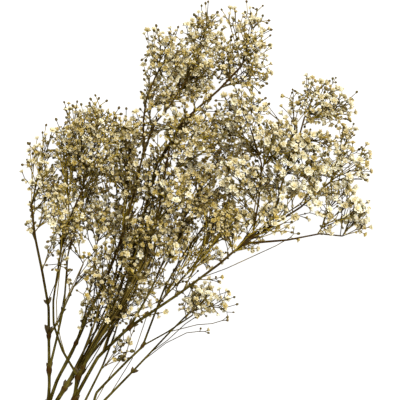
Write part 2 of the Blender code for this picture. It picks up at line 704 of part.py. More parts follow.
def build_wood(courses, material):
    """The stem with all its branches, the swollen knots where they fork, and the bracts at the knots."""
    shapes = []
    for name, line in courses.items():
        shapes.append(tube(line, branch_radii(name, line), branch_sides(name)))
    for name, (carrier, root_radius, _, _) in BRANCHES.items():
        if not carrier:
            continue
        line = courses[name]
        carried = courses[carrier]
        near = 1 + int(np.argmin(np.linalg.norm(carried[1:] - line[0], axis=1)))
        along = unit(carried[near] - carried[near - 1])
        thickness = max(root_radius, branch_radii(carrier, carried)[near])
        shapes.append(knuckle(line[0], along, thickness))
        if root_radius < BRACTED_RADIUS:
            continue
        leaving = unit(line[1] - line[0])
        outward = unit(np.cross(leaving, along))
        for side in (outward, -outward):
            if (line[0] + side * BRACT_LENGTH)[2] > BRACT_HEIGHT:
                root = line[0] + side * BRACT_SINK * thickness
                shapes.append(bract(root, unit(side + BRACT_SLANT * along), along))
    return fuse("stem", shapes, material)


def build_spray(spray, material):
    """One spray: its twigs, with a bloom or a bud at each tip."""
    draw = np.random.default_rng(len(spray.points))
    shapes = []
    for twig in spray.twigs:
        line = [spray.points[number] for number in twig]
        radii = [twig_radius(spray.bears[number]) for number in twig]
        lean = draw.normal(0.0, HEAD_LEAN, 3)
        shapes.append(twig_shape(line, radii, twig[0] > 0, twig[-1] in spray.buds, lean))
    whole = fuse(spray.name, shapes, material)
    level_underside(whole)
    return whole


def main():
    """Clear the scene and build the stem and its sprays."""
    for thing in list(bpy.data.objects):
        bpy.data.objects.remove(thing)
    wood = plain_material("dried_wood", WOOD_COLOUR, WOOD_ROUGHNESS)
    papery = plain_material("dried_bloom", BLOOM_COLOUR, BLOOM_ROUGHNESS)
    courses = branch_courses()
    sprays = [Spray(name, courses) for name in SPRAYS]
    bend_clear(courses, sprays)
    build_wood(courses, wood)
    for spray in sprays:
        build_spray(spray, papery)


main()
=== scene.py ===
import json
import math

import bmesh
import bpy
import numpy as np
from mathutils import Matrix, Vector

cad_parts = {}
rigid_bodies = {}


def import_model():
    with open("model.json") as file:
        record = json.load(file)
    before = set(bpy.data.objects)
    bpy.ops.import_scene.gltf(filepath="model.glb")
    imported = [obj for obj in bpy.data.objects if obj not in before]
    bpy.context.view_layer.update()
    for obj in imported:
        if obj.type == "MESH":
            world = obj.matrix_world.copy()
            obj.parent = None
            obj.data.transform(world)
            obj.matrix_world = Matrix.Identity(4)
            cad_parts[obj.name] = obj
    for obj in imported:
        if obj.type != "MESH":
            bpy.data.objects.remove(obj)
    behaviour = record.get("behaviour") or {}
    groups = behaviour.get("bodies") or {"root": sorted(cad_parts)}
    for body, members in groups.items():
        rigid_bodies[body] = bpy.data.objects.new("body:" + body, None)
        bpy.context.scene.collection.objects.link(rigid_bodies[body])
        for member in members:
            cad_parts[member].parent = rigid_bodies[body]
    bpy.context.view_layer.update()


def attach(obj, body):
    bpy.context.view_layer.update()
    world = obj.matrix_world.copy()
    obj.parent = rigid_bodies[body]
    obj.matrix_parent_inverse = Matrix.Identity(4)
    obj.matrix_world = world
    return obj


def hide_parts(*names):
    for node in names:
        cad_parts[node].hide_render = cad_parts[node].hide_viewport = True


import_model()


# Floor, light and camera.
# The stem lies on a plain white table. The light is broad and soft, and the camera looks
# straight down on the crown through a long lens, as the photograph shows it.

MM = 0.001
PHOTO_WIDTH = 340.0
CROWN_CENTRE = (149.6, 323.0, 50.0)
CAMERA_DISTANCE = 1700.0
FLOOR_SIZE = 6000.0
FLOOR_COLOUR = (0.14, 0.14, 0.14, 1.0)
FLOOR_GLOW = 0.96
WHITE = (1.0, 1.0, 1.0, 1.0)
SKY_STRENGTH = 0.40
LAMP_STRENGTH = 4.0
LAMP_WIDTH = 25
LAMP_TURN = (-22, 16, 0)
LAMP_COLOUR = (1.0, 0.98, 0.93)
VIEW_REACH = 10.0


def put(tree, kind, inputs=None, **settings):
    """A new node of a tree. Its inputs are values, or sockets that are linked to it."""
    node = tree.nodes.new(kind)
    for name, value in settings.items():
        setattr(node, name, value)
    for name, value in (inputs or {}).items():
        socket = node.inputs[name]
        if isinstance(value, bpy.types.NodeSocket):
            tree.links.new(value, socket)
        else:
            socket.default_value = value
    return node


def new_material(name, roughness, gloss=0.5):
    """A new material, its node tree and its Principled shader."""
    material = bpy.data.materials.new(name)
    material.use_nodes = True
    shader = material.node_tree.nodes["Principled BSDF"]
    shader.inputs["Roughness"].default_value = roughness
    shader.inputs["Specular IOR Level"].default_value = gloss
    return material, material.node_tree, shader


def build_floor():
    """The white table top, which glows a little so that its shadows stay faint."""
    material, tree, shader = new_material("table_white", 0.9)
    shader.inputs["Base Color"].default_value = FLOOR_COLOUR
    shader.inputs["Emission Color"].default_value = WHITE
    shader.inputs["Emission Strength"].default_value = FLOOR_GLOW
    half = 0.5 * FLOOR_SIZE * MM
    mesh = bpy.data.meshes.new("table")
    corners = [(-half, -half, 0.0), (half, -half, 0.0), (half, half, 0.0), (-half, half, 0.0)]
    mesh.from_pydata(corners, [], [(0, 1, 2, 3)])
    mesh.materials.append(material)
    floor = bpy.data.objects.new("table", mesh)
    bpy.context.scene.collection.objects.link(floor)


def build_light():
    """An even white sky, with one broad soft lamp high on the right of the crown."""
    world = bpy.data.worlds.new("soft_studio")
    bpy.context.scene.world = world
    world.use_nodes = True
    sky = world.node_tree.nodes["Background"]
    sky.inputs["Color"].default_value = WHITE
    sky.inputs["Strength"].default_value = SKY_STRENGTH
    lamp = bpy.data.lights.new("key_lamp", "SUN")
    lamp.energy = LAMP_STRENGTH
    lamp.angle = math.radians(LAMP_WIDTH)
    lamp.color = LAMP_COLOUR
    key = bpy.data.objects.new("key_lamp", lamp)
    key.rotation_euler = [math.radians(turn) for turn in LAMP_TURN]
    bpy.context.scene.collection.objects.link(key)


def build_camera():
    """A camera straight above the crown, whose frame is PHOTO_WIDTH wide at the crown's middle."""
    data = bpy.data.cameras.new("camera")
    data.lens = data.sensor_width * CAMERA_DISTANCE / PHOTO_WIDTH
    data.clip_end = VIEW_REACH
    camera = bpy.data.objects.new("camera", data)
    x, y, z = CROWN_CENTRE
    camera.location = Vector((x, y, z + CAMERA_DISTANCE)) * MM
    bpy.context.scene.collection.objects.link(camera)
    bpy.context.scene.camera = camera


build_floor()
build_light()
build_camera()
bpy.context.scene.view_settings.view_transform = "Standard"


# Stem and branches.
# One woody piece, grown as one: a stem of about 4 mm that forks again and again into wiry branches.
# Its bark is olive brown and finely ribbed, it swells where it forks, and its heel is cut across.

STEM_RADIUS = 2.3
LINE_STEPS = 6
TURN_SOFTNESS = 0.12
BRANCH_TAPER = 1.6
WOOD_SIDES = 12
WOOD_RIBS = 4
RIB_DEPTH = 0.1
KNUCKLE_SWELL = 0.95
KNUCKLE_REACH = 2.6
KNUCKLE_STEPS = (-2.0, -1.0, -0.5, 0.5, 1.0, 2.0)
KNUCKLE_ON_CARRIER = 1.15
KNUCKLE_ON_BRANCH = 0.9
KNUCKLE_BROWN = (0.045, 0.016, 0.003, 1.0)
KNUCKLE_SHADE = 0.85
BARK_OLIVE = (0.056, 0.043, 0.005, 1.0)
BARK_LIGHT = (0.135, 0.108, 0.022, 1.0)
BARK_DARK = (0.016, 0.009, 0.001, 1.0)
BARK_RAMP = (0.41, 0.5, 0.61)
BARK_PATCHES = 45.0
BARK_BUMP = (0.5, 0.0003)
BARK_ROUGHNESS = 0.6
BARK_GLOSS = 0.02
STREAKS_AROUND = 2.2
STREAKS_ALONG = 90.0

# The bark turns as brown as its knuckles in the crown: from how far up, over what length, how much.
CROWN_START = 230.0
CROWN_REACH = 60.0
CROWN_SHADE = 0.6

CUT_PALE = (0.50, 0.38, 0.19, 1.0)
CUT_RING = (0.34, 0.24, 0.10, 1.0)
CUT_PITH = (0.20, 0.12, 0.045, 1.0)
CUT_TONES = ((0.0, CUT_PITH), (0.22, CUT_PITH), (0.32, CUT_PALE), (0.55, CUT_RING), (0.66, CUT_PALE),
             (0.9, CUT_PALE), (1.0, BARK_OLIVE))
CUT_SIDES = 20
CUT_DEPTH = 0.3
CUT_SHARE = 0.96
CUT_RINGS = ((1.0, 0.5), (1.0, -0.5), (0.66, -0.6), (0.33, -0.6))
CUT_ROUGHNESS = 0.85

# Each branch: the one that it grows from, its radius at the root and at the tip, and the places
# that it passes, in millimetres.
BRANCHES = {
    "main_stem": (None, STEM_RADIUS, 1.0, [
        (-4, -20, 0), (4, 20, 0), (6, 31, 0), (10, 55, 3.5), (14, 82, 6),
        (15, 100, 9), (17, 135, 13), (19, 162, 17), (19, 206, 22), (19, 230, 25), (14, 260, 28),
        (8, 291, 32), (5, 319, 36)]),
    "left_branch": ("main_stem", 1.2, 0.6, [
        (20, 176, 18), (26, 203, 27), (33, 233, 36), (37, 275, 47), (41, 291, 51), (51, 319, 57)]),
    "left_long_branch": ("main_stem", 0.9, 0.6, [
        (20, 206, 22), (27, 218, 20), (40, 248, 16), (60, 269, 13), (77, 280, 12)]),
    "centre_branch": ("main_stem", 1.6, 0.9, [
        (18, 144, 14), (26, 167, 20), (43, 200, 30), (53, 224, 38), (68, 252, 46), (81, 284, 54),
        (90, 314, 60), (97, 343, 64), (103, 366, 67)]),
    "top_left_branch": ("centre_branch", 0.9, 0.7, [
        (103, 366, 67), (102, 387, 74), (105, 408, 80), (113, 427, 82)]),
    "top_branch": ("centre_branch", 0.9, 0.7, [
        (103, 366, 67), (112, 388, 62), (124, 403, 56), (136, 422, 50), (146, 440, 46)]),
    "bundle_branch": ("main_stem", 2.0, 0.9, [
        (17, 135, 13), (28, 153, 15), (43, 177, 21), (63, 208, 30), (84, 238, 40), (95, 280, 52),
        (104, 318, 62), (114, 354, 72), (137, 390, 76), (165, 415, 74), (184, 435, 70)]),
    "long_right_branch": ("main_stem", 1.9, 0.8, [
        (15, 100, 9), (36, 139, 20), (45, 158, 26), (62, 188, 36), (90, 215, 46), (131, 243, 54),
        (166, 269, 58), (188, 288, 59), (210, 301, 57), (235, 317, 53), (260, 338, 48)]),
    "right_upright_branch": ("long_right_branch", 1.0, 0.7, [
        (210, 301, 57), (220, 341, 60), (231, 368, 60), (238, 393, 58)]),
    "right_low_branch": ("long_right_branch", 1.1, 0.6, [
        (186, 286, 59), (224, 289, 48), (252, 294, 38), (272, 292, 30)]),
    "right_inner_branch": ("long_right_branch", 0.9, 0.6, [
        (193, 293, 59), (199, 323, 70), (201, 353, 80), (192, 381, 86)]),
    "second_branch": ("long_right_branch", 1.7, 0.8, [
        (41, 150, 23), (44, 169, 28), (58, 196, 42), (83, 233, 60), (105, 274, 74), (116, 319, 84),
        (124, 366, 92)]),
    "left_inner_branch": ("second_branch", 1.1, 0.7, [
        (44, 171, 29), (32, 194, 38), (25, 217, 46), (25, 238, 50), (32, 280, 58), (39, 306, 64),
        (51, 332, 68)]),
    "middle_branch": ("long_right_branch", 1.0, 0.7, [
        (90, 215, 46), (107, 245, 42), (126, 288, 36), (141, 319, 32), (165, 357, 28)]),
    "low_right_branch": ("main_stem", 1.6, 0.7, [
        (15, 100, 9), (52, 134, 10), (90, 173, 13), (124, 209, 16), (141, 226, 18)]),
    "low_middle_branch": ("low_right_branch", 1.2, 0.7, [
        (54, 137, 10), (60, 156, 14), (88, 185, 19), (100, 197, 21), (119, 247, 24), (136, 277, 25),
        (154, 302, 24)]),
    "low_cross_twig": ("low_middle_branch", 0.7, 0.6, [
        (100, 197, 21), (121, 209, 27), (143, 224, 33)]),
    "low_front_branch": ("main_stem", 1.5, 0.7, [
        (14, 82, 6), (35, 119, 8), (52, 153, 10), (65, 179, 12), (76, 208, 14), (85, 242, 15)]),
    "bundle_inner_twig": ("bundle_branch", 0.8, 0.5, [
        (43, 177, 21), (57, 213, 26), (71, 243, 30), (79, 266, 32)]),
    "bundle_outer_twig": ("second_branch", 0.8, 0.5, [
        (50, 180, 32), (66, 212, 42), (80, 247, 52), (93, 276, 66)]),
    "centre_twig": ("centre_branch", 0.7, 0.5, [
        (43, 200, 30), (52, 229, 28), (58, 262, 26), (60, 283, 24)]),
    "left_cross_twig": ("left_long_branch", 0.6, 0.5, [
        (30, 226, 18), (41, 249, 22), (49, 268, 26)]),
    "bundle_side_twig": ("bundle_branch", 0.9, 0.5, [
        (32, 160, 17), (48, 191, 18), (64, 216, 20)]),
}


def unit(vector):
    """The vector at length one."""
    return vector / np.linalg.norm(vector)


def smooth_course(places):
    """A line through the places: nearly straight between them, with rounded turns."""
    places = np.array(places, float)
    padded = np.vstack([2 * places[0] - places[1], places, 2 * places[-1] - places[-2]])
    line = [places[0]]
    for before, start, end, after in zip(padded, padded[1:], padded[2:], padded[3:]):
        for step in range(1, LINE_STEPS + 1):
            t = step / LINE_STEPS
            leaving = TURN_SOFTNESS * (end - before)
            arriving = TURN_SOFTNESS * (after - start)
            line.append((2 * t ** 3 - 3 * t ** 2 + 1) * start + (3 * t ** 2 - 2 * t ** 3) * end
                        + (t ** 3 - 2 * t ** 2 + t) * leaving + (t ** 3 - t ** 2) * arriving)
    return np.array(line)


def shares_along(line):
    """How far each point of a line is from its start, as a share of its whole length."""
    steps = np.linalg.norm(np.diff(line, axis=0), axis=1)
    return np.concatenate([[0.0], np.cumsum(steps)]) / steps.sum()


def place_on(line, share):
    """The point and the direction of a line at a share of its length."""
    along = shares_along(line)
    point = np.array([np.interp(share, along, line[:, axis]) for axis in range(3)])
    span = max(1, min(int(np.searchsorted(along, share)), len(line) - 1))
    return point, unit(line[span] - line[span - 1])


def nearest_on(line, place):
    """The point of a line that lies nearest to a place."""
    starts = line[:-1]
    spans = np.diff(line, axis=0)
    shares = np.clip(((place - starts) * spans).sum(1) / (spans ** 2).sum(1), 0, 1)
    points = starts + shares[:, None] * spans
    return points[np.argmin(np.linalg.norm(points - place, axis=1))]


def branch_courses():
    """The line of each branch, with its root on its carrier's line, and with the heel lying flat."""
    courses = {}
    for name, (carrier, _, _, places) in BRANCHES.items():
        places = [np.array(place, float) for place in places]
        if carrier:
            places[0] = nearest_on(courses[carrier], places[0])
        else:
            radii = branch_radii(name, np.array(places))
            for place, radius in zip(places, radii):
                place[2] = max(place[2], radius)
        courses[name] = smooth_course(places)
    return courses


def branch_radii(name, line):
    """The radius of a branch at each point of its line."""
    _, root, tip, _ = BRANCHES[name]
    return tip + (root - tip) * np.clip(1 - shares_along(line), 0, 1) ** BRANCH_TAPER


def knotted_line(line, knuckles):
    """A line with more points close to each place where it forks."""
    along = shares_along(line)
    length = np.linalg.norm(np.diff(line, axis=0), axis=1).sum()
    shares = set(along)
    for knuckle, size in knuckles:
        share = along[np.argmin(np.linalg.norm(line - knuckle, axis=1))]
        for step in KNUCKLE_STEPS:
            shares.add(min(max(share + step * KNUCKLE_REACH * size / length, 0.0), 1.0))
    return np.array([[np.interp(share, along, line[:, axis]) for axis in range(3)]
                     for share in sorted(shares)])


def swelling(line, knuckles):
    """How much a branch swells at each point of its line, and how much of a knuckle each point is."""
    swell = np.zeros(len(line))
    share = np.zeros(len(line))
    for knuckle, size in knuckles:
        gap = np.linalg.norm(line - knuckle, axis=1)
        near = np.exp(-(gap / (KNUCKLE_REACH * size)) ** 2)
        swell = np.maximum(swell, KNUCKLE_SWELL * size * near)
        share = np.maximum(share, near)
    return swell, share


def line_mesh(name, lines, radii, extra=None):
    """A wire mesh of many lines in metres, with the radius of each point, and more values if given."""
    corners, edges, thickness = [], [], []
    for line, sizes in zip(lines, radii):
        base = len(corners)
        corners += [tuple(point * MM) for point in line]
        thickness += [size * MM for size in sizes]
        edges += [(base + k, base + k + 1) for k in range(len(line) - 1)]
    mesh = bpy.data.meshes.new(name)
    mesh.from_pydata(corners, edges, [])
    mesh.attributes.new("thickness", "FLOAT", "POINT").data.foreach_set("value", thickness)
    for key, values in (extra or {}).items():
        mesh.attributes.new(key, "FLOAT", "POINT").data.foreach_set("value", values)
    return mesh


def geometry_tree(name, sockets):
    """A geometry node tree with a Geometry input and output and named inputs of its own."""
    tree = bpy.data.node_groups.new(name, "GeometryNodeTree")
    tree.interface.new_socket("Geometry", in_out="INPUT", socket_type="NodeSocketGeometry")
    tree.interface.new_socket("Geometry", in_out="OUTPUT", socket_type="NodeSocketGeometry")
    for label, kind in sockets.items():
        tree.interface.new_socket(label, in_out="INPUT", socket_type="NodeSocket" + kind)
    return tree, tree.nodes.new("NodeGroupInput").outputs


def finish_tree(tree, geometry, material):
    """End a tree in Realize Instances, Set Material and the group's output."""
    real = put(tree, "GeometryNodeRealizeInstances", {"Geometry": geometry})
    painted = put(tree, "GeometryNodeSetMaterial", {"Geometry": real.outputs[0], "Material": material})
    put(tree, "NodeGroupOutput", {"Geometry": painted.outputs[0]})


def named(tree, name, kind="FLOAT"):
    """The socket of a named attribute."""
    node = put(tree, "GeometryNodeInputNamedAttribute", data_type=kind)
    node.inputs["Name"].default_value = name
    return node.outputs["Attribute"]


def grown(name, mesh, tree, values):
    """The plain mesh that a geometry node tree grows from a mesh."""
    thing = bpy.data.objects.new(name, mesh)
    bpy.context.scene.collection.objects.link(thing)
    growth = thing.modifiers.new("growth", "NODES")
    growth.node_group = tree
    sockets = {item.name: item.identifier for item in tree.interface.items_tree
               if item.in_out == "INPUT"}
    for label, value in values.items():
        growth[sockets[label]] = value
    shown = thing.evaluated_get(bpy.context.evaluated_depsgraph_get())
    result = bpy.data.meshes.new_from_object(shown)
    thing.modifiers.remove(growth)
    bpy.data.objects.remove(thing)
    return result


def stored(tree, geometry, name, value):
    """The geometry with a value kept at each of its points under a name."""
    node = put(tree, "GeometryNodeStoreNamedAttribute", {
        "Geometry": geometry, "Name": name, "Value": value}, data_type="FLOAT", domain="POINT")
    return node.outputs[0]


def result_of(tree, operation, *values, **settings):
    """The result of a math node on one or two values or sockets."""
    node = put(tree, "ShaderNodeMath", dict(enumerate(values)), operation=operation, **settings)
    return node.outputs[0]


def build_rod_tree():
    """Round rods along the lines of a wire mesh, with ribs, and with values for the bark's pattern."""
    tree, given = geometry_tree("rods_along_lines", {
        "Sides": "Int", "Rib Count": "Int", "Rib Depth": "Float", "Material": "Material"})
    curve = put(tree, "GeometryNodeMeshToCurve", {"Mesh": given["Geometry"]})
    spline = put(tree, "GeometryNodeSplineParameter")
    along = stored(tree, curve.outputs[0], "along", spline.outputs["Length"])
    circle = put(tree, "GeometryNodeCurvePrimitiveCircle", {
        "Resolution": given["Sides"], "Radius": 1.0})
    rods = put(tree, "GeometryNodeCurveToMesh", {
        "Curve": along,
        "Profile Curve": stored(tree, circle.outputs[0], "around", spline.outputs["Factor"]),
        "Scale": named(tree, "thickness"), "Fill Caps": True})
    full = result_of(tree, "MULTIPLY", named(tree, "around"), math.tau)
    wave = result_of(tree, "SINE", result_of(tree, "MULTIPLY", full, given["Rib Count"]))
    depth = result_of(tree, "MULTIPLY", wave, given["Rib Depth"])
    normal = put(tree, "GeometryNodeInputNormal")
    lift = put(tree, "ShaderNodeVectorMath", {
        0: normal.outputs[0], "Scale": result_of(tree, "MULTIPLY", depth, named(tree, "thickness"))},
        operation="SCALE")
    ribbed = put(tree, "GeometryNodeSetPosition", {
        "Geometry": rods.outputs[0], "Offset": lift.outputs[0]})
    smooth = put(tree, "GeometryNodeSetShadeSmooth", {"Geometry": ribbed.outputs[0]})
    finish_tree(tree, smooth.outputs[0], given["Material"])
    return tree


def value_at(tree, name):
    """The value that a piece keeps at each of its points under a name."""
    return put(tree, "ShaderNodeAttribute", attribute_name=name).outputs["Fac"]


def mottling(tree, scale, detail):
    """Patches of light and dark through the whole of a piece."""
    spot = put(tree, "ShaderNodeTexCoord")
    noise = put(tree, "ShaderNodeTexNoise", {
        "Vector": spot.outputs["Object"], "Scale": scale, "Detail": detail})
    return noise.outputs["Fac"]


def ramped(tree, factor, *stops):
    """The colour that a factor has on a ramp of stops, each a place and a colour."""
    node = put(tree, "ShaderNodeValToRGB", {"Fac": factor})
    ends = node.color_ramp.elements
    for end, (place, colour) in zip(ends, (stops[0], stops[-1])):
        end.position = place
        end.color = colour
    for place, colour in stops[1:-1]:
        ends.new(place).color = colour
    return node.outputs["Color"]


def mixed(tree, factor, first, second):
    """The first colour at a factor of 0, the second at 1, and a mix of them between."""
    node = put(tree, "ShaderNodeMix", {"Factor": factor, 6: first, 7: second}, data_type="RGBA")
    return node.outputs[2]


def roughen(tree, shader, height, strength, depth):
    """Give a surface a fine relief, as strong and as deep in metres as given."""
    bump = put(tree, "ShaderNodeBump", {"Height": height, "Strength": strength, "Distance": depth})
    tree.links.new(bump.outputs["Normal"], shader.inputs["Normal"])


def streaks_group():
    """Bark streaks: a mask of fine lines that run along a rod, from its own along and around values."""
    tree = bpy.data.node_groups.new("bark_streaks", "ShaderNodeTree")
    tree.interface.new_socket("Around Scale", in_out="INPUT", socket_type="NodeSocketFloat")
    tree.interface.new_socket("Along Scale", in_out="INPUT", socket_type="NodeSocketFloat")
    tree.interface.new_socket("Streaks", in_out="OUTPUT", socket_type="NodeSocketFloat")
    given = tree.nodes.new("NodeGroupInput").outputs
    full = result_of(tree, "MULTIPLY", value_at(tree, "around"), math.tau)
    spot = put(tree, "ShaderNodeCombineXYZ", {
        0: result_of(tree, "COSINE", full), 1: result_of(tree, "SINE", full),
        2: result_of(tree, "MULTIPLY", value_at(tree, "along"), given["Along Scale"])})
    noise = put(tree, "ShaderNodeTexNoise", {
        "Vector": spot.outputs[0], "Scale": given["Around Scale"], "Detail": 4.0})
    put(tree, "NodeGroupOutput", {"Streaks": noise.outputs["Fac"]})
    return tree


def bark_material(name, dark, middle, light, streaks):
    """Dry bark: streaks along the stem, lighter and darker patches and twigs, and brown knuckles."""
    material, tree, shader = new_material(name, BARK_ROUGHNESS, BARK_GLOSS)
    group = put(tree, "ShaderNodeGroup", {
        "Around Scale": STREAKS_AROUND, "Along Scale": STREAKS_ALONG}, node_tree=streaks)
    lines = group.outputs["Streaks"]
    both = result_of(tree, "ADD", lines, mottling(tree, BARK_PATCHES, 3.0))
    half = result_of(tree, "MULTIPLY", both, 0.5)
    toned = result_of(tree, "ADD", half, value_at(tree, "tone"))
    bark = ramped(tree, toned, *zip(BARK_RAMP, (dark, middle, light)))
    whole = mixed(tree, value_at(tree, "knuckle"), bark, KNUCKLE_BROWN)
    tree.links.new(whole, shader.inputs["Base Color"])
    roughen(tree, shader, lines, *BARK_BUMP)
    return material


def add_piece(name, mesh, slot, *nodes):
    """A finished piece at the origin, which rides on the one body and stands for CAD nodes if given."""
    piece = bpy.data.objects.new(name, mesh)
    mesh.name = name
    bpy.context.scene.collection.objects.link(piece)
    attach(piece, "root")
    if nodes:
        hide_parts(*nodes)
    return piece


courses = branch_courses()
rod_tree = build_rod_tree()
bark_streaks = streaks_group()
stem_bark = bark_material("stem_bark", BARK_DARK, BARK_OLIVE, BARK_LIGHT, bark_streaks)
knuckles = {name: [] for name in BRANCHES}
for name, (carrier, root, _, _) in BRANCHES.items():
    if carrier:
        knuckles[carrier].append((courses[name][0], KNUCKLE_ON_CARRIER * root))
        knuckles[name].append((courses[name][0], KNUCKLE_ON_BRANCH * root))
stem_lines, stem_radii, stem_knuckles = [], [], []
for name, line in courses.items():
    line = knotted_line(line, knuckles[name])
    swell, share = swelling(line, knuckles[name])
    stem_lines.append(line)
    stem_radii.append(branch_radii(name, line) + swell)
    crown = CROWN_SHADE * np.clip((line[:, 1] - CROWN_START) / CROWN_REACH, 0.0, 1.0)
    stem_knuckles.extend(np.maximum(KNUCKLE_SHADE * share, crown))
stem_wires = line_mesh("stem_lines", stem_lines, stem_radii, {"knuckle": stem_knuckles})
stem_mesh = grown("stem_lines", stem_wires, rod_tree, {
    "Sides": WOOD_SIDES, "Rib Count": WOOD_RIBS, "Rib Depth": RIB_DEPTH, "Material": stem_bark})
add_piece("stem_wood", stem_mesh, "dried_wood", "stem")


def cut_material():
    """A fresh cut: pale wood in rings round a darker pith, with the bark as a dark rim."""
    material, tree, shader = new_material("cut_wood", CUT_ROUGHNESS, BARK_GLOSS)
    rings = ramped(tree, value_at(tree, "reach"), *CUT_TONES)
    tree.links.new(rings, shader.inputs["Base Color"])
    return material


def cut_mesh(place, along, radius):
    """A thin closed disc across the heel, which faces away from the stem.

    Each of CUT_RINGS is a share of the radius, and how far up the stem it lies in cut depths.
    """
    side = unit(np.cross(along, (0.0, 0.0, 1.0)))
    up = np.cross(side, along)
    corners, reaches, faces = [], [], []
    for share, proud in CUT_RINGS:
        for corner in range(CUT_SIDES):
            turn = math.tau * corner / CUT_SIDES
            out = share * radius * (math.cos(turn) * side + math.sin(turn) * up)
            corners.append(tuple((place + out + proud * CUT_DEPTH * along) * MM))
            reaches.append(share)
    for ring in range(len(CUT_RINGS) - 1):
        for corner in range(CUT_SIDES):
            near, beside = ring * CUT_SIDES + corner, ring * CUT_SIDES + (corner + 1) % CUT_SIDES
            faces.append((near, beside, beside + CUT_SIDES, near + CUT_SIDES))
    faces.append(tuple(range(CUT_SIDES - 1, -1, -1)))
    corners.append(tuple((place + CUT_RINGS[-1][1] * CUT_DEPTH * along) * MM))
    reaches.append(0.0)
    last = (len(CUT_RINGS) - 1) * CUT_SIDES
    for corner in range(CUT_SIDES):
        faces.append((last + corner, last + (corner + 1) % CUT_SIDES, len(corners) - 1))
    form = bmesh.new()
    points = [form.verts.new(corner) for corner in corners]
    for face in faces:
        form.faces.new([points[k] for k in face])
    bmesh.ops.recalc_face_normals(form, faces=form.faces[:])
    mesh = bpy.data.meshes.new("stem_cut")
    form.to_mesh(mesh)
    form.free()
    mesh.attributes.new("reach", "FLOAT", "POINT").data.foreach_set("value", reaches)
    mesh.materials.append(cut_material())
    return mesh


heel = courses["main_stem"][0]
add_piece("stem_cut", cut_mesh(heel, unit(courses["main_stem"][1] - heel), CUT_SHARE * STEM_RADIUS),
          "dried_wood")


# Bracts.
# Small dry leaves in pairs at the knots of the stem and, smaller, of its twigs, brown and curled.
# They are left from the living stem and grew on it, so their roots sink into the knots.

BRACT_LENGTH = 7.0
BRACT_WIDTH = 3.4
BRACT_THICKNESS = 0.25
BRACT_FOLD = 1.1
BRACT_ROLL = 0.8
BRACT_STEPS = 3
BRACT_ROOT = 0.12
BRACT_SPAN = 0.9
BRACT_FULLNESS = 0.8
BRACT_TIP = 0.05
BRACT_RISE = 2.6
BRACT_CURL = 2.2
BRACT_DRAW = 0.12
BRACTED_RADIUS = 0.85
THICK_BRACTS = 1.25
THIN_BRACTS = 0.8
LARGE_BRACTS = {"left_long_branch": 1.8, "left_inner_branch": 1.5, "right_low_branch": 1.5}

# Knots with no fork that hold a pair of bracts too: the branch, a place on it, and the bracts' size.
LEAFY_PLACES = (("main_stem", (18, 232, 25), 1.1), ("low_right_branch", (90, 173, 13), 1.0))
LEAFY_RADIUS = 1.0

BRACT_SEED = 5
BRACT_SIZES = (0.7, 1.1)
BRACT_SHAKE = 0.2
BRACT_TURN = 0.35
BRACT_SLANT = 1.3
BRACT_SEAT = 0.6
BRACT_HEIGHT = 1.0
BRACT_BROWN = (0.026, 0.015, 0.003, 1.0)
BRACT_TAN = (0.12, 0.075, 0.013, 1.0)
BRACT_RAMP = (0.38, 0.68)
BRACT_MOTTLE = 700.0
BRACT_ROUGHNESS = 0.75


def bract_mesh():
    """A thin pointed blade along +X with a folded midrib and a curled tip, closed all round."""
    form = bmesh.new()
    rows = []
    for step in range(BRACT_STEPS + 1):
        reach = step / BRACT_STEPS
        swell = math.sin(math.pi * min(1.0, reach * BRACT_SPAN + BRACT_ROOT))
        half = 0.5 * BRACT_WIDTH * (swell ** BRACT_FULLNESS + BRACT_TIP)
        rise = BRACT_RISE * reach ** BRACT_CURL
        out = BRACT_LENGTH * reach * (1 - BRACT_DRAW * reach)
        rows.append([(out, spread * half, rise + fold * half)
                     for spread, fold in ((-1.0, BRACT_FOLD), (0.0, 0.0), (1.0, BRACT_FOLD))])
    top = [[form.verts.new(Vector(place) * MM) for place in row] for row in rows]
    low = [[form.verts.new((Vector(place) - Vector((0, 0, BRACT_THICKNESS))) * MM) for place in row]
           for row in rows]
    for near, far in zip(range(BRACT_STEPS), range(1, BRACT_STEPS + 1)):
        for side in (0, 1):
            form.faces.new((top[near][side], top[far][side], top[far][side + 1], top[near][side + 1]))
            form.faces.new((low[near][side], low[near][side + 1], low[far][side + 1], low[far][side]))
        form.faces.new((top[near][0], low[near][0], low[far][0], top[far][0]))
        form.faces.new((top[near][2], top[far][2], low[far][2], low[near][2]))
    for row, other in ((top[0], low[0]), (top[-1], low[-1])):
        form.faces.new((row[0], row[1], other[1], other[0]))
        form.faces.new((row[1], row[2], other[2], other[1]))
    bmesh.ops.recalc_face_normals(form, faces=form.faces[:])
    mesh = bpy.data.meshes.new("bract")
    form.to_mesh(mesh)
    form.free()
    mesh.shade_smooth()
    return mesh


def helper(name, mesh):
    """An object that only lends its mesh to a geometry node tree."""
    thing = bpy.data.objects.new(name, mesh)
    bpy.context.scene.collection.objects.link(thing)
    return thing


def point_mesh(name, places, values, directions):
    """A mesh of loose points in metres, with values and directions for what stands on them."""
    mesh = bpy.data.meshes.new(name)
    mesh.from_pydata([tuple(place * MM) for place in places], [], [])
    for key, numbers in values.items():
        mesh.attributes.new(key, "FLOAT", "POINT").data.foreach_set("value", numbers)
    for key, vectors in directions.items():
        flat = np.array(vectors, float).ravel()
        mesh.attributes.new(key, "FLOAT_VECTOR", "POINT").data.foreach_set("vector", flat)
    return mesh


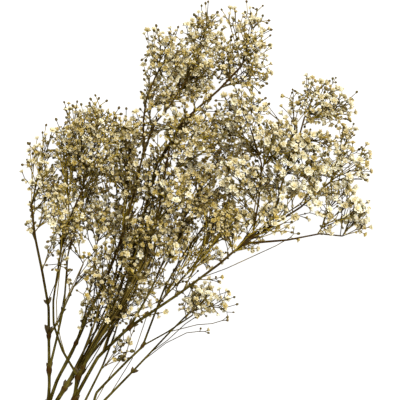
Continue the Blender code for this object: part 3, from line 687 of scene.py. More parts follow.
def build_bract_tree():
    """Bracts on points: each lies along its point's outward direction, with its face along the stem."""
    tree, given = geometry_tree("bracts_on_knots", {"Bract": "Object", "Material": "Material"})
    shape = put(tree, "GeometryNodeObjectInfo", {"Object": given["Bract"]})
    first = put(tree, "FunctionNodeAlignRotationToVector", {
        "Vector": named(tree, "outward", "FLOAT_VECTOR")}, axis="X")
    both = put(tree, "FunctionNodeAlignRotationToVector", {
        "Rotation": first.outputs[0], "Vector": named(tree, "stemward", "FLOAT_VECTOR")},
        axis="Z", pivot_axis="X")
    copies = put(tree, "GeometryNodeInstanceOnPoints", {
        "Points": given["Geometry"], "Instance": shape.outputs["Geometry"],
        "Rotation": both.outputs[0], "Scale": named(tree, "size")})
    finish_tree(tree, copies.outputs[0], given["Material"])
    return tree


def dry_leaf_material():
    """Brown dry leaf, mottled with tan."""
    material, tree, shader = new_material("dry_bract", BRACT_ROUGHNESS)
    leaf = ramped(tree, mottling(tree, BRACT_MOTTLE, 4.0), *zip(BRACT_RAMP, (BRACT_BROWN, BRACT_TAN)))
    tree.links.new(leaf, shader.inputs["Base Color"])
    return material


def bract_pairs(name, knots, seed):
    """A pair of bracts on each knot, given as its place, its stem's direction and radius, and a size."""
    draw = np.random.default_rng(seed)
    places, sizes, outwards, stemwards = [], [], [], []
    for knot, along, radius, size in knots:
        across = unit(np.cross(along, (0.0, 0.0, 1.0)) + draw.normal(0.0, BRACT_TURN, 3))
        across = unit(across - (across @ along) * along)
        for side in (across, -across):
            outward = unit(side + BRACT_SLANT * along + draw.normal(0.0, BRACT_SHAKE, 3))
            if (knot + outward * size * BRACT_LENGTH)[2] > BRACT_HEIGHT:
                places.append(knot + side * BRACT_SEAT * radius)
                sizes.append(size * draw.uniform(*BRACT_SIZES))
                outwards.append(outward)
                face = along + (0.0, 0.0, BRACT_ROLL * draw.normal())
                stemwards.append(unit(face - (face @ outward) * outward))
    mesh = point_mesh(name, places, {"size": sizes}, {"outward": outwards, "stemward": stemwards})
    shape = helper("bract_shape", bract_mesh())
    result = grown(name, mesh, bract_tree, {"Bract": shape, "Material": dry_leaf})
    bpy.data.objects.remove(shape)
    return result


dry_leaf = dry_leaf_material()
bract_tree = build_bract_tree()
forks = []
for name, (carrier, root, _, _) in BRANCHES.items():
    if carrier:
        carried = courses[carrier]
        near = 1 + int(np.argmin(np.linalg.norm(carried[1:] - courses[name][0], axis=1)))
        size = LARGE_BRACTS.get(name, THICK_BRACTS if root > BRACTED_RADIUS else THIN_BRACTS)
        forks.append((courses[name][0], unit(carried[near] - carried[near - 1]), root, size))
for name, place, size in LEAFY_PLACES:
    line = courses[name]
    near = 1 + int(np.argmin(np.linalg.norm(line[1:] - place, axis=1)))
    forks.append((line[near], unit(line[near] - line[near - 1]), LEAFY_RADIUS, size))
add_piece("stem_bracts", bract_pairs("stem_bracts", forks, BRACT_SEED), "dried_wood", "stem")


# Sprays.
# Each branch carries loose sprays of wiry twigs, which fork in two or three again and again, down to a
# hair-thin stalk under every bloom and bud. They are woody, and grew as one piece with the branch.

FIRST_SEED = 11
STALK_RADIUS = 0.31
TWIG_GROWTH = 0.15
FIRST_FORK = 0.2
THREE_WAY = 9
FAN_TIPS = 30
FORK_SHARES = ((12, 0.5), (4, 0.48), (1, 0.56))
BUDS_INSIDE = 0.14
HANGING_BUDS = 0.4
TIP_CHOICES = 10
INNER_REACH = 0.98
INNER_SPREAD = 0.42
OUTER_SHARE = 0.18
OUTER_REACH = 1.02
OUTER_DEPTH = 0.22
TIP_TOP = 106.0
BLOOM_REST = 3.8
FRONT_BRANCHES = ("main_stem", "bundle_branch", "centre_branch", "second_branch", "left_inner_branch",
                  "low_front_branch", "low_middle_branch", "top_branch", "top_left_branch")
FRONT_REACH = 4.5

# Each spray: the branch that carries it, how far along that branch, the middle and the half sizes
# of its cloud of blooms in millimetres, and its number of blooms and buds.
SPRAYS = {
    "top_right_spray": ("bundle_branch", 1.0, (193, 458, 68), (17, 28, 22), 58),
    "top_right_low_spray": ("bundle_branch", 0.93, (195, 428, 50), (15, 13, 15), 26),
    "top_spray": ("top_branch", 1.0, (155, 462, 44), (17, 24, 20), 66),
    "top_back_spray": ("top_branch", 0.62, (141, 430, 24), (17, 14, 24), 40),
    "top_left_spray": ("top_left_branch", 1.0, (123, 443, 82), (18, 24, 20), 66),
    "top_left_low_spray": ("top_left_branch", 0.48, (120, 413, 68), (19, 16, 14), 44),
    "crown_spray": ("second_branch", 1.0, (136, 378, 98), (19, 24, 14), 64),
    "crown_left_spray": ("bundle_branch", 0.8, (101, 383, 92), (13, 15, 12), 30),
    "right_of_centre_spray": ("right_inner_branch", 1.0, (185, 398, 92), (22, 18, 14), 58),
    "ridge_spray": ("right_inner_branch", 0.62, (211, 374, 90), (16, 14, 14), 36),
    "front_right_spray": ("right_inner_branch", 0.3, (182, 343, 84), (18, 17, 14), 46),
    "right_high_spray": ("right_upright_branch", 1.0, (255, 405, 56), (25, 20, 20), 62),
    "right_high_back_spray": ("right_upright_branch", 0.72, (228, 401, 40), (11, 18, 14), 22),
    "right_spray": ("long_right_branch", 1.0, (270, 353, 48), (22, 18, 20), 62),
    "right_mid_spray": ("right_upright_branch", 0.45, (235, 354, 74), (21, 20, 14), 44),
    "right_back_spray": ("right_upright_branch", 0.34, (207, 338, 38), (18, 18, 14), 40),
    "right_under_spray": ("long_right_branch", 0.82, (231, 325, 70), (21, 14, 12), 38),
    "right_edge_spray": ("right_low_branch", 0.74, (268, 320, 38), (21, 20, 17), 54),
    "right_tip_spray": ("right_low_branch", 1.0, (285, 311, 22), (12, 13, 18), 30),
    "middle_spray": ("middle_branch", 1.0, (170, 367, 22), (20, 20, 20), 48),
    "heart_spray": ("middle_branch", 0.55, (150, 331, 56), (22, 21, 14), 54),
    "front_spray": ("second_branch", 0.72, (127, 333, 96), (18, 20, 10), 42),
    "front_low_spray": ("second_branch", 0.52, (95, 275, 80), (15, 22, 11), 40),
    "centre_fan_spray": ("low_middle_branch", 1.0, (164, 318, 20), (22, 17, 19), 48),
    "hem_spray": ("long_right_branch", 0.48, (153, 286, 48), (22, 15, 12), 44),
    "low_heart_spray": ("low_middle_branch", 0.66, (128, 253, 12), (18, 14, 12), 32),
    "low_front_spray": ("low_front_branch", 1.0, (101, 256, 13), (19, 24, 13), 44),
    "low_left_spray": ("centre_branch", 0.48, (63, 265, 32), (14, 18, 11), 32),
    "left_high_spray": ("left_inner_branch", 1.0, (61, 374, 70), (26, 30, 22), 88),
    "left_high_right_spray": ("centre_branch", 0.78, (86, 373, 48), (14, 23, 15), 52),
    "left_mid_spray": ("left_long_branch", 1.0, (71, 321, 16), (20, 24, 18), 54),
    "left_centre_spray": ("left_branch", 1.0, (49, 342, 36), (22, 23, 12), 52),
    "left_low_spray": ("left_inner_branch", 0.62, (36, 314, 84), (16, 22, 12), 38),
    "left_edge_spray": ("main_stem", 1.0, (15, 350, 36), (15, 28, 18), 44),
    "left_corner_spray": ("main_stem", 0.93, (24, 318, 16), (16, 14, 18), 30),
    "bottom_right_spray": ("low_right_branch", 1.0, (160, 235, 15), (20, 14, 16), 36),
    "bottom_right_front_spray": ("low_cross_twig", 1.0, (148, 241, 40), (14, 10, 10), 20),
    "low_small_spray": ("low_front_branch", 0.8, (55, 228, 28), (8, 12, 8), 16),
    "low_bud_spray": ("low_front_branch", 0.6, (82, 194, 15), (8, 14, 6), 16),
    "top_middle_spray": ("top_branch", 0.8, (139, 440, 64), (16, 14, 14), 38),
    "top_gap_spray": ("bundle_branch", 0.96, (174, 441, 56), (12, 18, 14), 34),
    "left_shoulder_spray": ("left_inner_branch", 0.84, (36, 371, 48), (13, 20, 14), 38),
    "centre_left_spray": ("centre_branch", 0.66, (92, 340, 48), (12, 20, 12), 36),
    "bundle_high_spray": ("bundle_branch", 0.56, (112, 342, 76), (14, 27, 12), 44),
    "crown_right_spray": ("second_branch", 0.88, (158, 382, 80), (14, 23, 13), 44),
    "ridge_back_spray": ("right_inner_branch", 0.78, (190, 370, 62), (12, 15, 14), 30),
    "right_between_spray": ("right_upright_branch", 0.8, (243, 371, 68), (24, 12, 14), 46),
    "left_under_spray": ("centre_twig", 1.0, (65, 305, 24), (17, 16, 12), 40),
    "heart_low_spray": ("bundle_outer_twig", 1.0, (108, 300, 84), (15, 16, 11), 40),
    "centre_low_spray": ("middle_branch", 0.4, (128, 297, 42), (16, 19, 12), 44),
    "hem_high_spray": ("long_right_branch", 0.56, (167, 309, 67), (17, 13, 11), 42),
    "hem_right_spray": ("long_right_branch", 0.68, (211, 306, 62), (20, 13, 12), 42),
    "left_foot_spray": ("left_cross_twig", 1.0, (36, 292, 34), (16, 12, 9), 28),
    "bundle_low_spray": ("bundle_inner_twig", 1.0, (88, 300, 34), (13, 20, 12), 40),
    "bundle_foot_spray": ("bundle_outer_twig", 0.5, (76, 240, 48), (12, 22, 10), 40),
    "low_knot_spray": ("bundle_side_twig", 1.0, (94, 232, 22), (16, 13, 9), 32),
    "hem_low_spray": ("low_middle_branch", 0.84, (160, 271, 28), (13, 9, 10), 20),
}

# The sprays are made in bunches that grow side by side. Each bunch has its own share of heads more
# than the tables give, its size of blooms, and the age that darkens them.
BUNCHES = {
    "top": (2.3, 0.74, 0.18, (
        "top_right_spray", "top_right_low_spray", "top_spray", "top_back_spray", "top_left_spray",
        "top_left_low_spray", "top_middle_spray", "top_gap_spray")),
    "crown": (2.0, 0.77, 0.33, (
        "crown_spray", "crown_left_spray", "front_spray", "bundle_high_spray", "crown_right_spray",
        "centre_low_spray", "heart_low_spray")),
    "heart": (2.2, 0.74, 0.58, (
        "heart_spray", "middle_spray", "centre_fan_spray", "hem_high_spray", "hem_spray")),
    "centre": (2.0, 0.70, 0.42, (
        "front_low_spray", "low_front_spray", "bundle_low_spray", "bundle_foot_spray")),
    "foot": (1.3, 0.76, 0.1, (
        "low_left_spray", "low_heart_spray", "hem_low_spray", "low_knot_spray")),
    "right_high": (1.8, 0.84, 0.08, (
        "right_of_centre_spray", "ridge_spray", "right_high_spray", "right_high_back_spray",
        "ridge_back_spray", "right_between_spray", "front_right_spray", "right_back_spray",
        "hem_right_spray")),
    "right": (1.35, 1.0, -0.1, (
        "right_spray", "right_mid_spray", "right_under_spray", "right_edge_spray",
        "right_tip_spray")),
    "left_high": (3.3, 0.63, 0.30, (
        "left_high_spray", "left_high_right_spray", "left_centre_spray", "left_low_spray",
        "left_shoulder_spray", "centre_left_spray")),
    "left_edge": (2.1, 0.70, 0.10, (
        "left_mid_spray", "left_edge_spray", "left_corner_spray", "left_under_spray",
        "left_foot_spray")),
    "low": (1.4, 0.86, -0.05, (
        "bottom_right_spray", "bottom_right_front_spray")),
    "hanging": (1.8, 0.9, 0.1, (
        "low_small_spray", "low_bud_spray")),
}

# Sprays that are thinner or fuller than the rest of their bunch, as shares of its number of heads.
FULLNESS = {"right_under_spray": 0.5, "low_heart_spray": 0.32, "left_corner_spray": 0.5, "heart_spray": 1.1,
            "low_left_spray": 0.9, "right_high_back_spray": 0.5, "hem_right_spray": 0.7,
            "front_right_spray": 1.1, "right_back_spray": 1.1, "left_shoulder_spray": 0.65,
            "centre_left_spray": 0.85, "left_foot_spray": 0.35, "left_edge_spray": 0.82,
            "hem_low_spray": 0.5, "top_left_spray": 0.86, "hem_spray": 0.75, "low_front_spray": 0.9,
            "top_right_spray": 0.75, "top_spray": 0.82, "low_knot_spray": 0.8, "right_spray": 0.82,
            "top_right_low_spray": 0.7, "right_edge_spray": 0.85, "crown_left_spray": 0.7,
            "bundle_high_spray": 0.85}

# The gaps that the crown shows from above: the middle and the half sizes of each, in millimetres.
GAPS = (
    ((106, 367), (8, 9)), ((55, 297), (6, 6)), ((5, 347), (8, 9)), ((158, 486), (8, 6)),
    ((192, 467), (6, 7)), ((277, 314), (5, 6)), ((140, 244), (5, 5)), ((277, 350), (7, 7)),
    ((140, 263), (8, 7)), ((38, 330), (5, 6)), ((112, 372), (4, 10)), ((66, 339), (8, 6)),
    ((54, 340), (7, 6)), ((87, 319), (4, 6)), ((145, 333), (5, 8)), ((126, 304), (7, 8)),
    ((155, 308), (7, 5)), ((167, 320), (5, 7)), ((196, 341), (6, 6)), ((204, 352), (4, 5)),
    ((231, 318), (10, 9)), ((267, 344), (5, 8)), ((247, 373), (8, 5)), ((183, 430), (6, 7)),
    ((159, 400), (4, 8)), ((239, 299), (13, 8)), ((262, 359), (5, 6)), ((116, 350), (4, 7)),
    ((171, 286), (9, 8)), ((125, 265), (8, 7)), ((146, 272), (7, 6)), ((76, 333), (4, 7)),
    ((85, 308), (5, 5)),
)


def beside_gaps(places):
    """The places, with those inside a gap moved out to its edge."""
    for middle, half in GAPS:
        offsets = (places[:, :2] - middle) / half
        reach = np.linalg.norm(offsets, axis=1)
        inside = reach < 1
        places[inside, :2] = middle + half * offsets[inside] / reach[inside, None]
    return places


def behind_branches(places):
    """The places, with those that would hide a main branch from above moved as far below it."""
    for name in FRONT_BRANCHES:
        line = courses[name]
        gaps = np.linalg.norm(places[:, None, :2] - line[None, :, :2], axis=2)
        height = line[gaps.argmin(1), 2]
        hiding = (gaps.min(1) < FRONT_REACH) & (places[:, 2] > height)
        places[hiding, 2] = 2 * height[hiding] - places[hiding, 2]
    return places


def cloud_tips(middle, half, count, seed, buds_inside=BUDS_INSIDE):
    """The places of a spray's blooms, spread evenly in its cloud, and of its buds, just outside it."""
    draw = np.random.default_rng(seed)
    outer = int(count * OUTER_SHARE)
    tips = []
    for number in range(count):
        rays = draw.normal(size=(TIP_CHOICES, 3))
        rays /= np.linalg.norm(rays, axis=1)[:, None]
        depth = draw.random((TIP_CHOICES, 1))
        if number < count - outer:
            choices = rays * INNER_REACH * depth ** INNER_SPREAD
        else:
            choices = rays * (OUTER_REACH + OUTER_DEPTH * depth)
        if tips:
            gaps = np.linalg.norm(choices[:, None] - np.array(tips)[None], axis=2).min(1)
            tips.append(choices[np.argmax(gaps)])
        else:
            tips.append(choices[0])
    places = np.array(middle) + np.array(tips) * np.array(half)
    places = behind_branches(beside_gaps(places))
    places[:, 2] = np.clip(places[:, 2], BLOOM_REST, TIP_TOP)
    is_bud = (np.arange(count) >= count - outer) | (draw.random(count) < buds_inside)
    return places, is_bud


def spray_tips(name, more):
    """The tips of one of the table's sprays, with as many more heads as its bunch has."""
    _, _, middle, half, count = SPRAYS[name]
    count = int(more * FULLNESS.get(name, 1.0) * count)
    buds_inside = HANGING_BUDS if name in BUNCHES["hanging"][3] else BUDS_INSIDE
    return cloud_tips(middle, half, count, list(SPRAYS).index(name) + FIRST_SEED, buds_inside)


def parted(tips, places, ways):
    """The tips beyond a knot, parted in two or three across their widest gap."""
    group = places[tips]
    gaps = np.linalg.norm(group[:, None] - group[None], axis=2)
    first, second = np.unravel_index(np.argmax(gaps), gaps.shape)
    order = np.argsort((group - group[first]) @ (group[second] - group[first]), kind="stable")
    return [[tips[k] for k in part] for part in np.array_split(order, ways)]


def fanned(tips, places):
    """The tips beyond a spray's first knots, which lie so close together that its twigs fan from one."""
    return [fan for part in parted(tips, places, 3) for fan in parted(part, places, 2)]


class Spray:
    """One spray, grown down to every stalk: the lines of its twigs, and what each stalk bears."""

    def __init__(self, foot, tips, is_bud, first_fork=FIRST_FORK, passed=()):
        self.tips = tips
        self.is_bud = is_bud
        self.knots = []
        self.lines = []
        self.radii = []
        self.heads = []
        run = [foot, *passed]
        run.append(run[-1] + first_fork * (tips.mean(0) - run[-1]))
        self.grow(run, [len(tips)] * len(run), list(range(len(tips))))

    def grow(self, run, bears, tips):
        """Lengthen the run of a twig through its forks to its own tip, and grow the twigs beside it.

        At each fork the twig that turns least leads on.
        """
        knot = run[-1]
        if len(tips) == 1:
            tip = self.tips[tips[0]]
            self.lines.append(np.array(run + [tip]))
            self.radii.append([STALK_RADIUS * many ** TWIG_GROWTH for many in bears + [1]])
            self.heads.append((tip, unit(tip - knot), bool(self.is_bud[tips[0]])))
            return
        ahead = knot - run[-2]
        radius = STALK_RADIUS * len(tips) ** TWIG_GROWTH
        self.knots.append((knot, unit(ahead), radius, len(tips)))
        if len(tips) > FAN_TIPS:
            groups = fanned(tips, self.tips)
        else:
            groups = parted(tips, self.tips, 3 if len(tips) > THREE_WAY else 2)
        groups.sort(key=lambda group: -unit(self.tips[group].mean(0) - knot) @ ahead)
        for number, group in enumerate(groups):
            beyond = [knot] if number else run
            beyond_bears = [len(group)] if number else bears
            if len(group) > 1:
                share = next(share for count, share in FORK_SHARES if len(group) > count)
                beyond = beyond + [knot + share * (self.tips[group].mean(0) - knot)]
                beyond_bears = beyond_bears + [len(group)]
            self.grow(beyond, beyond_bears, group)


def spray_foot(name):
    """The place on its branch where a spray grows."""
    carrier, share, _, _, _ = SPRAYS[name]
    return place_on(courses[carrier], share)[0]


sprays = {name: Spray(spray_foot(name), *spray_tips(name, more))
          for more, _, _, names in BUNCHES.values() for name in names}
bunches = [(bunch, size, age, [sprays[name] for name in names], names)
           for bunch, (_, size, age, names) in BUNCHES.items()]


# Side twigs.
# Short twigs with a few buds and small blooms each, all along the branches above the bare foot. Each
# grows at a slant from its branch, from the angle of a pair of small bracts.

SIDE_SEED = 31
SIDE_SPACING = 28.0
SIDE_SHIFT = 0.5
SIDE_START = 0.12
SIDE_END = 0.94
STEM_BARE = 0.42
BARE_FOOT = 207.0
BARE_BELOW = {"main_stem": 300.0, "left_branch": 262.0, "left_inner_branch": 285.0,
              "left_long_branch": 258.0, "low_right_branch": 400.0,
              "low_cross_twig": 400.0, "right_low_branch": 400.0}
SIDE_SLANT = 0.75
SIDE_SLANT_RANGE = (0.6, 1.4)
SIDE_LENGTHS = (13.0, 30.0)
SIDE_COUNTS = (3, 9)
SIDE_SPREAD = 0.2
SIDE_FORK = 0.5
SIDE_BUDS = 0.6
SIDE_BRACT = 0.5
SIDE_BLOOM = 0.68
SIDE_AGE = 0.35


def side_twigs():
    """Small twigs along the branches, each with a few buds and small blooms, and where each grows."""
    draw = np.random.default_rng(SIDE_SEED)
    grown_twigs, feet = [], []
    for name, line in courses.items():
        length = np.linalg.norm(np.diff(line, axis=0), axis=1).sum()
        start = STEM_BARE if name == "main_stem" else SIDE_START
        for share in np.arange(start, SIDE_END, SIDE_SPACING / length):
            foot, along = place_on(line, share + draw.uniform(0.0, SIDE_SHIFT) * SIDE_SPACING / length)
            if foot[1] < BARE_BELOW.get(name, BARE_FOOT):
                continue
            side = np.cross(along, unit(draw.normal(size=3)))
            heading = unit(along + SIDE_SLANT * draw.uniform(*SIDE_SLANT_RANGE) * unit(side))
            reach = draw.uniform(*SIDE_LENGTHS)
            count = int(draw.integers(*SIDE_COUNTS))
            tips = foot + reach * heading + SIDE_SPREAD * reach * draw.normal(size=(count, 3))
            tips[:, 2] = np.clip(tips[:, 2], BLOOM_REST, TIP_TOP)
            is_bud = draw.random(count) < SIDE_BUDS
            grown_twigs.append(Spray(foot, tips, is_bud, SIDE_FORK))
            radius = float(np.interp(share, shares_along(line), branch_radii(name, line)))
            feet.append((foot, along, radius, SIDE_BRACT))
    return grown_twigs, feet


side_sprays, side_feet = side_twigs()
bunches.append(("side", SIDE_BLOOM, SIDE_AGE, side_sprays, ()))


# Strands.
# Long straight twigs that run close beside the main branches and make the middle of the crown dense
# and dark. Each grows from its branch, and ends in a small tuft of blooms and buds.

STRANDS = {"bundle_branch": 15, "second_branch": 13, "centre_branch": 3, "left_inner_branch": 2,
           "middle_branch": 5, "right_inner_branch": 3}
STRAND_SEED = 47
STRAND_STARTS = (0.02, 0.48)
STRAND_REACHES = (0.28, 0.5)
STRAND_END = 0.98
STRAND_ASIDE = 5.0
STRAND_OFFSETS = (0.5, 1.5)
STRAND_PARTING = 2.5
STRAND_LEAN = 1.6
STRAND_STEPS = (0.2, 0.4, 0.6, 0.8)
STRAND_TUFT = 6.0
STRAND_TIPS = (7, 14)
STRAND_FORK = 0.8


def strands():
    """Long straight twigs that run along a main branch, each with a small tuft at its end."""
    draw = np.random.default_rng(STRAND_SEED)
    grown_strands = []
    for name, number in STRANDS.items():
        line = courses[name]
        for _ in range(number):
            start = draw.uniform(*STRAND_STARTS)
            foot, along = place_on(line, start)
            end = min(STRAND_END, start + draw.uniform(*STRAND_REACHES))
            beyond, _ = place_on(line, end)
            offset = STRAND_ASIDE * draw.uniform(*STRAND_OFFSETS)
            aside = offset * unit(np.cross(along, unit(draw.normal(size=3))))
            aside[2] = abs(aside[2])
            count = int(draw.integers(*STRAND_TIPS))
            tips = beyond + STRAND_LEAN * aside + STRAND_TUFT * draw.normal(size=(count, 3))
            tips[:, 2] = np.clip(tips[:, 2], BLOOM_REST, TIP_TOP)
            passed = [place_on(line, start + step * (end - start))[0]
                      + min(1.0, STRAND_PARTING * step) * aside for step in STRAND_STEPS]
            is_bud = draw.random(len(tips)) < SIDE_BUDS
            grown_strands.append(Spray(foot, tips, is_bud, STRAND_FORK, passed))
    return grown_strands


bunches.append(("strand", SIDE_BLOOM, SIDE_AGE, strands(), ()))


# Bare twigs and rods.
# Thin twigs below and beside the crown that bear only a few heads at their ends, and thicker rods that
# make up the dark bundle under it. They are as woody as the branches that they grow from.

WIRE_SEED = 61
WIRE_TUFT = 2.6
WIRE_TIPS = 3
WIRE_FORK = 0.7
WIRE_SWELL = 1.05
ROD_SEED = 62
ROD_TUFT = 5.0
ROD_TIPS = 7
ROD_SWELL = 2.0

# The places that each thin bare twig passes, from its root on a branch to its buds.
WIRES = (
    ((32, 237, 34), (41, 248, 38), (49, 255, 40), (60, 270, 40), (62, 285, 38)),
    ((22, 209, 22), (31, 229, 30), (37, 243, 36), (44, 257, 40), (52, 275, 42)),
    ((21, 236, 25), (27, 255, 34), (31, 270, 40), (36, 285, 42)),
    ((15, 262, 28), (20, 280, 34), (26, 292, 36), (31, 300, 36)),
    ((31, 268, 34), (34, 281, 40), (40, 289, 42), (46, 303, 42), (54, 329, 44)),
    ((44, 255, 20), (62, 270, 24), (60, 285, 30), (58, 298, 34), (54, 319, 38)),
    ((10, 292, 30), (6, 303, 34), (3, 318, 34)),
    ((107, 190, 15), (122, 202, 17), (137, 216, 20), (148, 222, 22)),
    ((124, 209, 16), (147, 215, 18), (160, 216, 18), (175, 219, 16)),
    ((100, 183, 14), (120, 199, 16), (138, 208, 18), (156, 212, 17)),
    ((150, 257, 56), (172, 265, 54), (194, 275, 52), (214, 284, 48), (232, 294, 44)),
    ((36, 120, 8), (60, 150, 14), (75, 177, 20), (86, 191, 22), (93, 210, 22)),
    ((70, 154, 11), (91, 186, 20), (100, 212, 26), (104, 226, 28)),
    ((33, 206, 30), (30, 225, 34), (34, 245, 40), (41, 262, 44)),
    ((54, 201, 22), (56, 213, 28), (57, 224, 33), (58, 233, 37), (60, 249, 42), (62, 258, 44)),
    ((55, 202, 24), (60, 211, 30), (62, 221, 34), (63, 230, 38), (62, 242, 42), (61, 255, 44)),
    ((60, 208, 30), (63, 216, 34), (63, 228, 40), (68, 243, 46), (69, 258, 50)),
    ((51, 332, 68), (56, 339, 80), (60, 348, 86)),
    ((51, 332, 68), (58, 340, 82), (65, 350, 88)),
    ((51, 332, 68), (61, 339, 82), (70, 349, 88)),
    ((51, 332, 68), (63, 338, 82), (76, 349, 88)),
    ((51, 332, 68), (62, 335, 80), (80, 343, 86)),
    ((51, 332, 68), (52, 338, 80), (53, 348, 86)),
)

# The places that each long straight stem of the dark bundle passes, from its root to the small tuft
# at its end.
RODS = (
    ((42, 171, 24), (53, 195, 30), (60, 211, 36), (68, 228, 42), (74, 240, 47), (79, 255, 52),
     (86, 275, 58), (93, 300, 64)),
    ((46, 172, 28), (57, 196, 36), (66, 212, 44), (74, 228, 50), (80, 242, 55), (87, 262, 62),
     (95, 285, 70)),
    ((50, 180, 32), (61, 197, 40), (71, 210, 48), (79, 225, 56), (85, 240, 62), (91, 258, 68),
     (99, 280, 76)),
    ((66, 192, 38), (69, 201, 42), (74, 214, 46), (79, 224, 50), (84, 234, 54), (90, 248, 58),
     (97, 270, 64)),
    ((68, 194, 40), (72, 206, 46), (77, 216, 50), (82, 228, 54), (89, 242, 60), (98, 258, 66)),
    ((48, 178, 24), (58, 200, 32), (67, 219, 40), (73, 234, 46), (76, 250, 52), (80, 270, 58)),
    ((46, 185, 24), (54, 203, 30), (60, 220, 38), (65, 236, 44), (70, 252, 48)),
)


def bare_twigs(routes, count, spread, swell, seed):
    """Bare twigs along the given routes, each with so many buds and small blooms at its end."""
    draw = np.random.default_rng(seed)
    grown_wires = []
    for places in routes:
        roots = [nearest_on(line, np.array(places[0], float)) for line in courses.values()]
        foot = min(roots, key=lambda root: np.linalg.norm(root - places[0]))
        tips = places[-1] + spread * draw.normal(size=(count, 3))
        passed = [np.array(place, float) for place in places[1:-1]]
        wire = Spray(foot, tips, draw.random(count) < SIDE_BUDS, WIRE_FORK, passed)
        wire.radii = [[swell * size for size in sizes] for sizes in wire.radii]
        grown_wires.append(wire)
    return grown_wires


bare = bare_twigs(WIRES, WIRE_TIPS, WIRE_TUFT, WIRE_SWELL, WIRE_SEED)
bare += bare_twigs(RODS, ROD_TIPS, ROD_TUFT, ROD_SWELL, ROD_SEED)
bunches.append(("wire", SIDE_BLOOM, SIDE_AGE, bare, ()))


# Tufts.
# Small tufts of blooms that fill the crown between its sprays, each on a long stalk from the branch
# that lies nearest below it.

TUFT_SEED = 300
TUFT_STALK = 18.0
TUFT_BLOOM = 0.78
TUFT_AGE = 0.2

# Each tuft between the sprays: the middle and the half sizes of its cloud in millimetres, and its
# number of blooms and buds.
TUFTS = (
    ((141, 350, 60), (12, 10, 9), 40),
    ((158, 347, 50), (9, 9, 9), 26),
    ((74, 347, 50), (10, 11, 9), 36),
    ((156, 433, 50), (10, 9, 9), 30),
    ((141, 416, 40), (10, 8, 9), 26),
    ((175, 297, 56), (12, 10, 9), 46),
    ((189, 309, 56), (9, 9, 9), 20),
    ((124, 281, 50), (9, 9, 8), 26),
    ((211, 381, 60), (10, 10, 9), 30),
    ((209, 365, 60), (10, 9, 9), 32),
    ((226, 366, 60), (9, 9, 9), 24),
    ((243, 348, 60), (10, 10, 9), 36),
    ((243, 331, 56), (8, 7, 7), 16),
    ((260, 399, 50), (9, 9, 8), 18),
    ((275, 381, 50), (8, 8, 8), 16),
    ((292, 364, 45), (5, 8, 6), 9),
    ((291, 347, 40), (6, 8, 6), 10),
    ((291, 299, 30), (6, 7, 6), 9),
    ((260, 299, 40), (8, 7, 7), 8),
    ((175, 481, 48), (7, 8, 7), 9),
    ((141, 467, 50), (8, 8, 7), 9),
    ((107, 465, 60), (7, 8, 7), 5),
    ((107, 433, 66), (7, 8, 7), 7),
    ((226, 332, 60), (8, 8, 8), 20),
    ((226, 383, 60), (8, 8, 8), 16),
    ((260, 417, 56), (9, 8, 8), 9),
    ((192, 450, 60), (9, 9, 9), 18),
    ((209, 314, 56), (9, 8, 8), 22),
    ((175, 383, 70), (10, 9, 8), 30),
    ((24, 332, 30), (9, 9, 8), 30),
    ((39, 398, 56), (9, 8, 8), 12),
    ((57, 397, 60), (9, 8, 8), 16),
    ((57, 314, 44), (8, 8, 7), 18),
    ((24, 283, 28), (7, 8, 7), 9),
    ((141, 231, 30), (10, 8, 8), 18),
    ((56, 259, 30), (8, 7, 7), 12),
    ((5, 301, 28), (5, 7, 6), 7),
    ((20, 382, 46), (7, 7, 7), 6),
    ((124, 383, 70), (9, 8, 8), 18),
    ((192, 284, 50), (8, 6, 6), 10),
    ((73, 281, 44), (8, 8, 8), 14),
    ((206, 434, 60), (6, 8, 7), 6),
    ((260, 332, 50), (8, 7, 7), 14),
    ((277, 366, 50), (7, 7, 7), 8),
    ((292, 316, 26), (5, 7, 6), 6),
    ((150, 247, 30), (12, 6, 7), 14),
    ((243, 424, 56), (6, 6, 6), 7),
    ((176, 333, 50), (9, 8, 8), 18),
    ((5, 315, 30), (5, 7, 6), 6),
    ((275, 398, 50), (7, 7, 7), 8),
    ((207, 400, 60), (6, 6, 6), 4),
    ((276, 331, 44), (7, 6, 7), 8),
    ((156, 417, 50), (6, 6, 6), 8),
    ((7, 367, 40), (5, 6, 6), 6),
    ((56, 383, 60), (10, 8, 9), 24),
    ((22, 349, 46), (8, 7, 8), 12),
    ((124, 412, 60), (8, 7, 8), 12),
)


def tufts():
    """Small tufts between the sprays, each grown from the branch that lies nearest below it."""
    grown_tufts = []
    for number, (middle, half, count) in enumerate(TUFTS):
        below = np.array(middle) - (0.0, TUFT_STALK, 0.0)
        feet = [line[np.linalg.norm(line - below, axis=1).argmin()] for line in courses.values()]
        foot = min(feet, key=lambda place: np.linalg.norm(place - below))
        grown_tufts.append(Spray(foot, *cloud_tips(middle, half, count, TUFT_SEED + number)))
    return grown_tufts


bunches.append(("tuft", TUFT_BLOOM, TUFT_AGE, tufts(), ()))


# Wood of the twigs.
# The twigs of every bunch are thin ribless rods of dry wood, olive at the foot and golden in the crown,
# where their lighter gold is partly their own colour and partly painted bounce light in the crown's shade.
# They swell to a knot where they fork, and their first forks hold pairs of small bracts.

TWIG_SIDES = 5
KNOT_SEED = 9
KNOT_SWELL = 1.7
KNOT_LENGTH = 1.9
KNOTTED_TIPS = 2
BRACTED_TIPS = 12
TWIG_BRACT = 0.34
TWIG_BRACT_SEED = 6
TONE_SEED = 12
TWIG_TONE = 0.16
TRUNK_TONE = 0.15
TWIG_DARK = (0.022, 0.013, 0.002, 1.0)
TWIG_OLIVE = (0.060, 0.042, 0.007, 1.0)
TWIG_LIGHT = (0.18, 0.125, 0.024, 1.0)
# The crown's twig bark is lighter and more golden than the foot's: partly its own colour, partly painted
# bounce light in the crown's shade.
CROWN_DARK_AND_BOUNCE = (0.034, 0.021, 0.004, 1.0)
CROWN_GOLD_AND_BOUNCE = (0.150, 0.104, 0.009, 1.0)
CROWN_LIGHT_AND_BOUNCE = (0.33, 0.235, 0.026, 1.0)
DARK_BUNCHES = ("foot", "low", "hanging", "side", "strand", "wire")


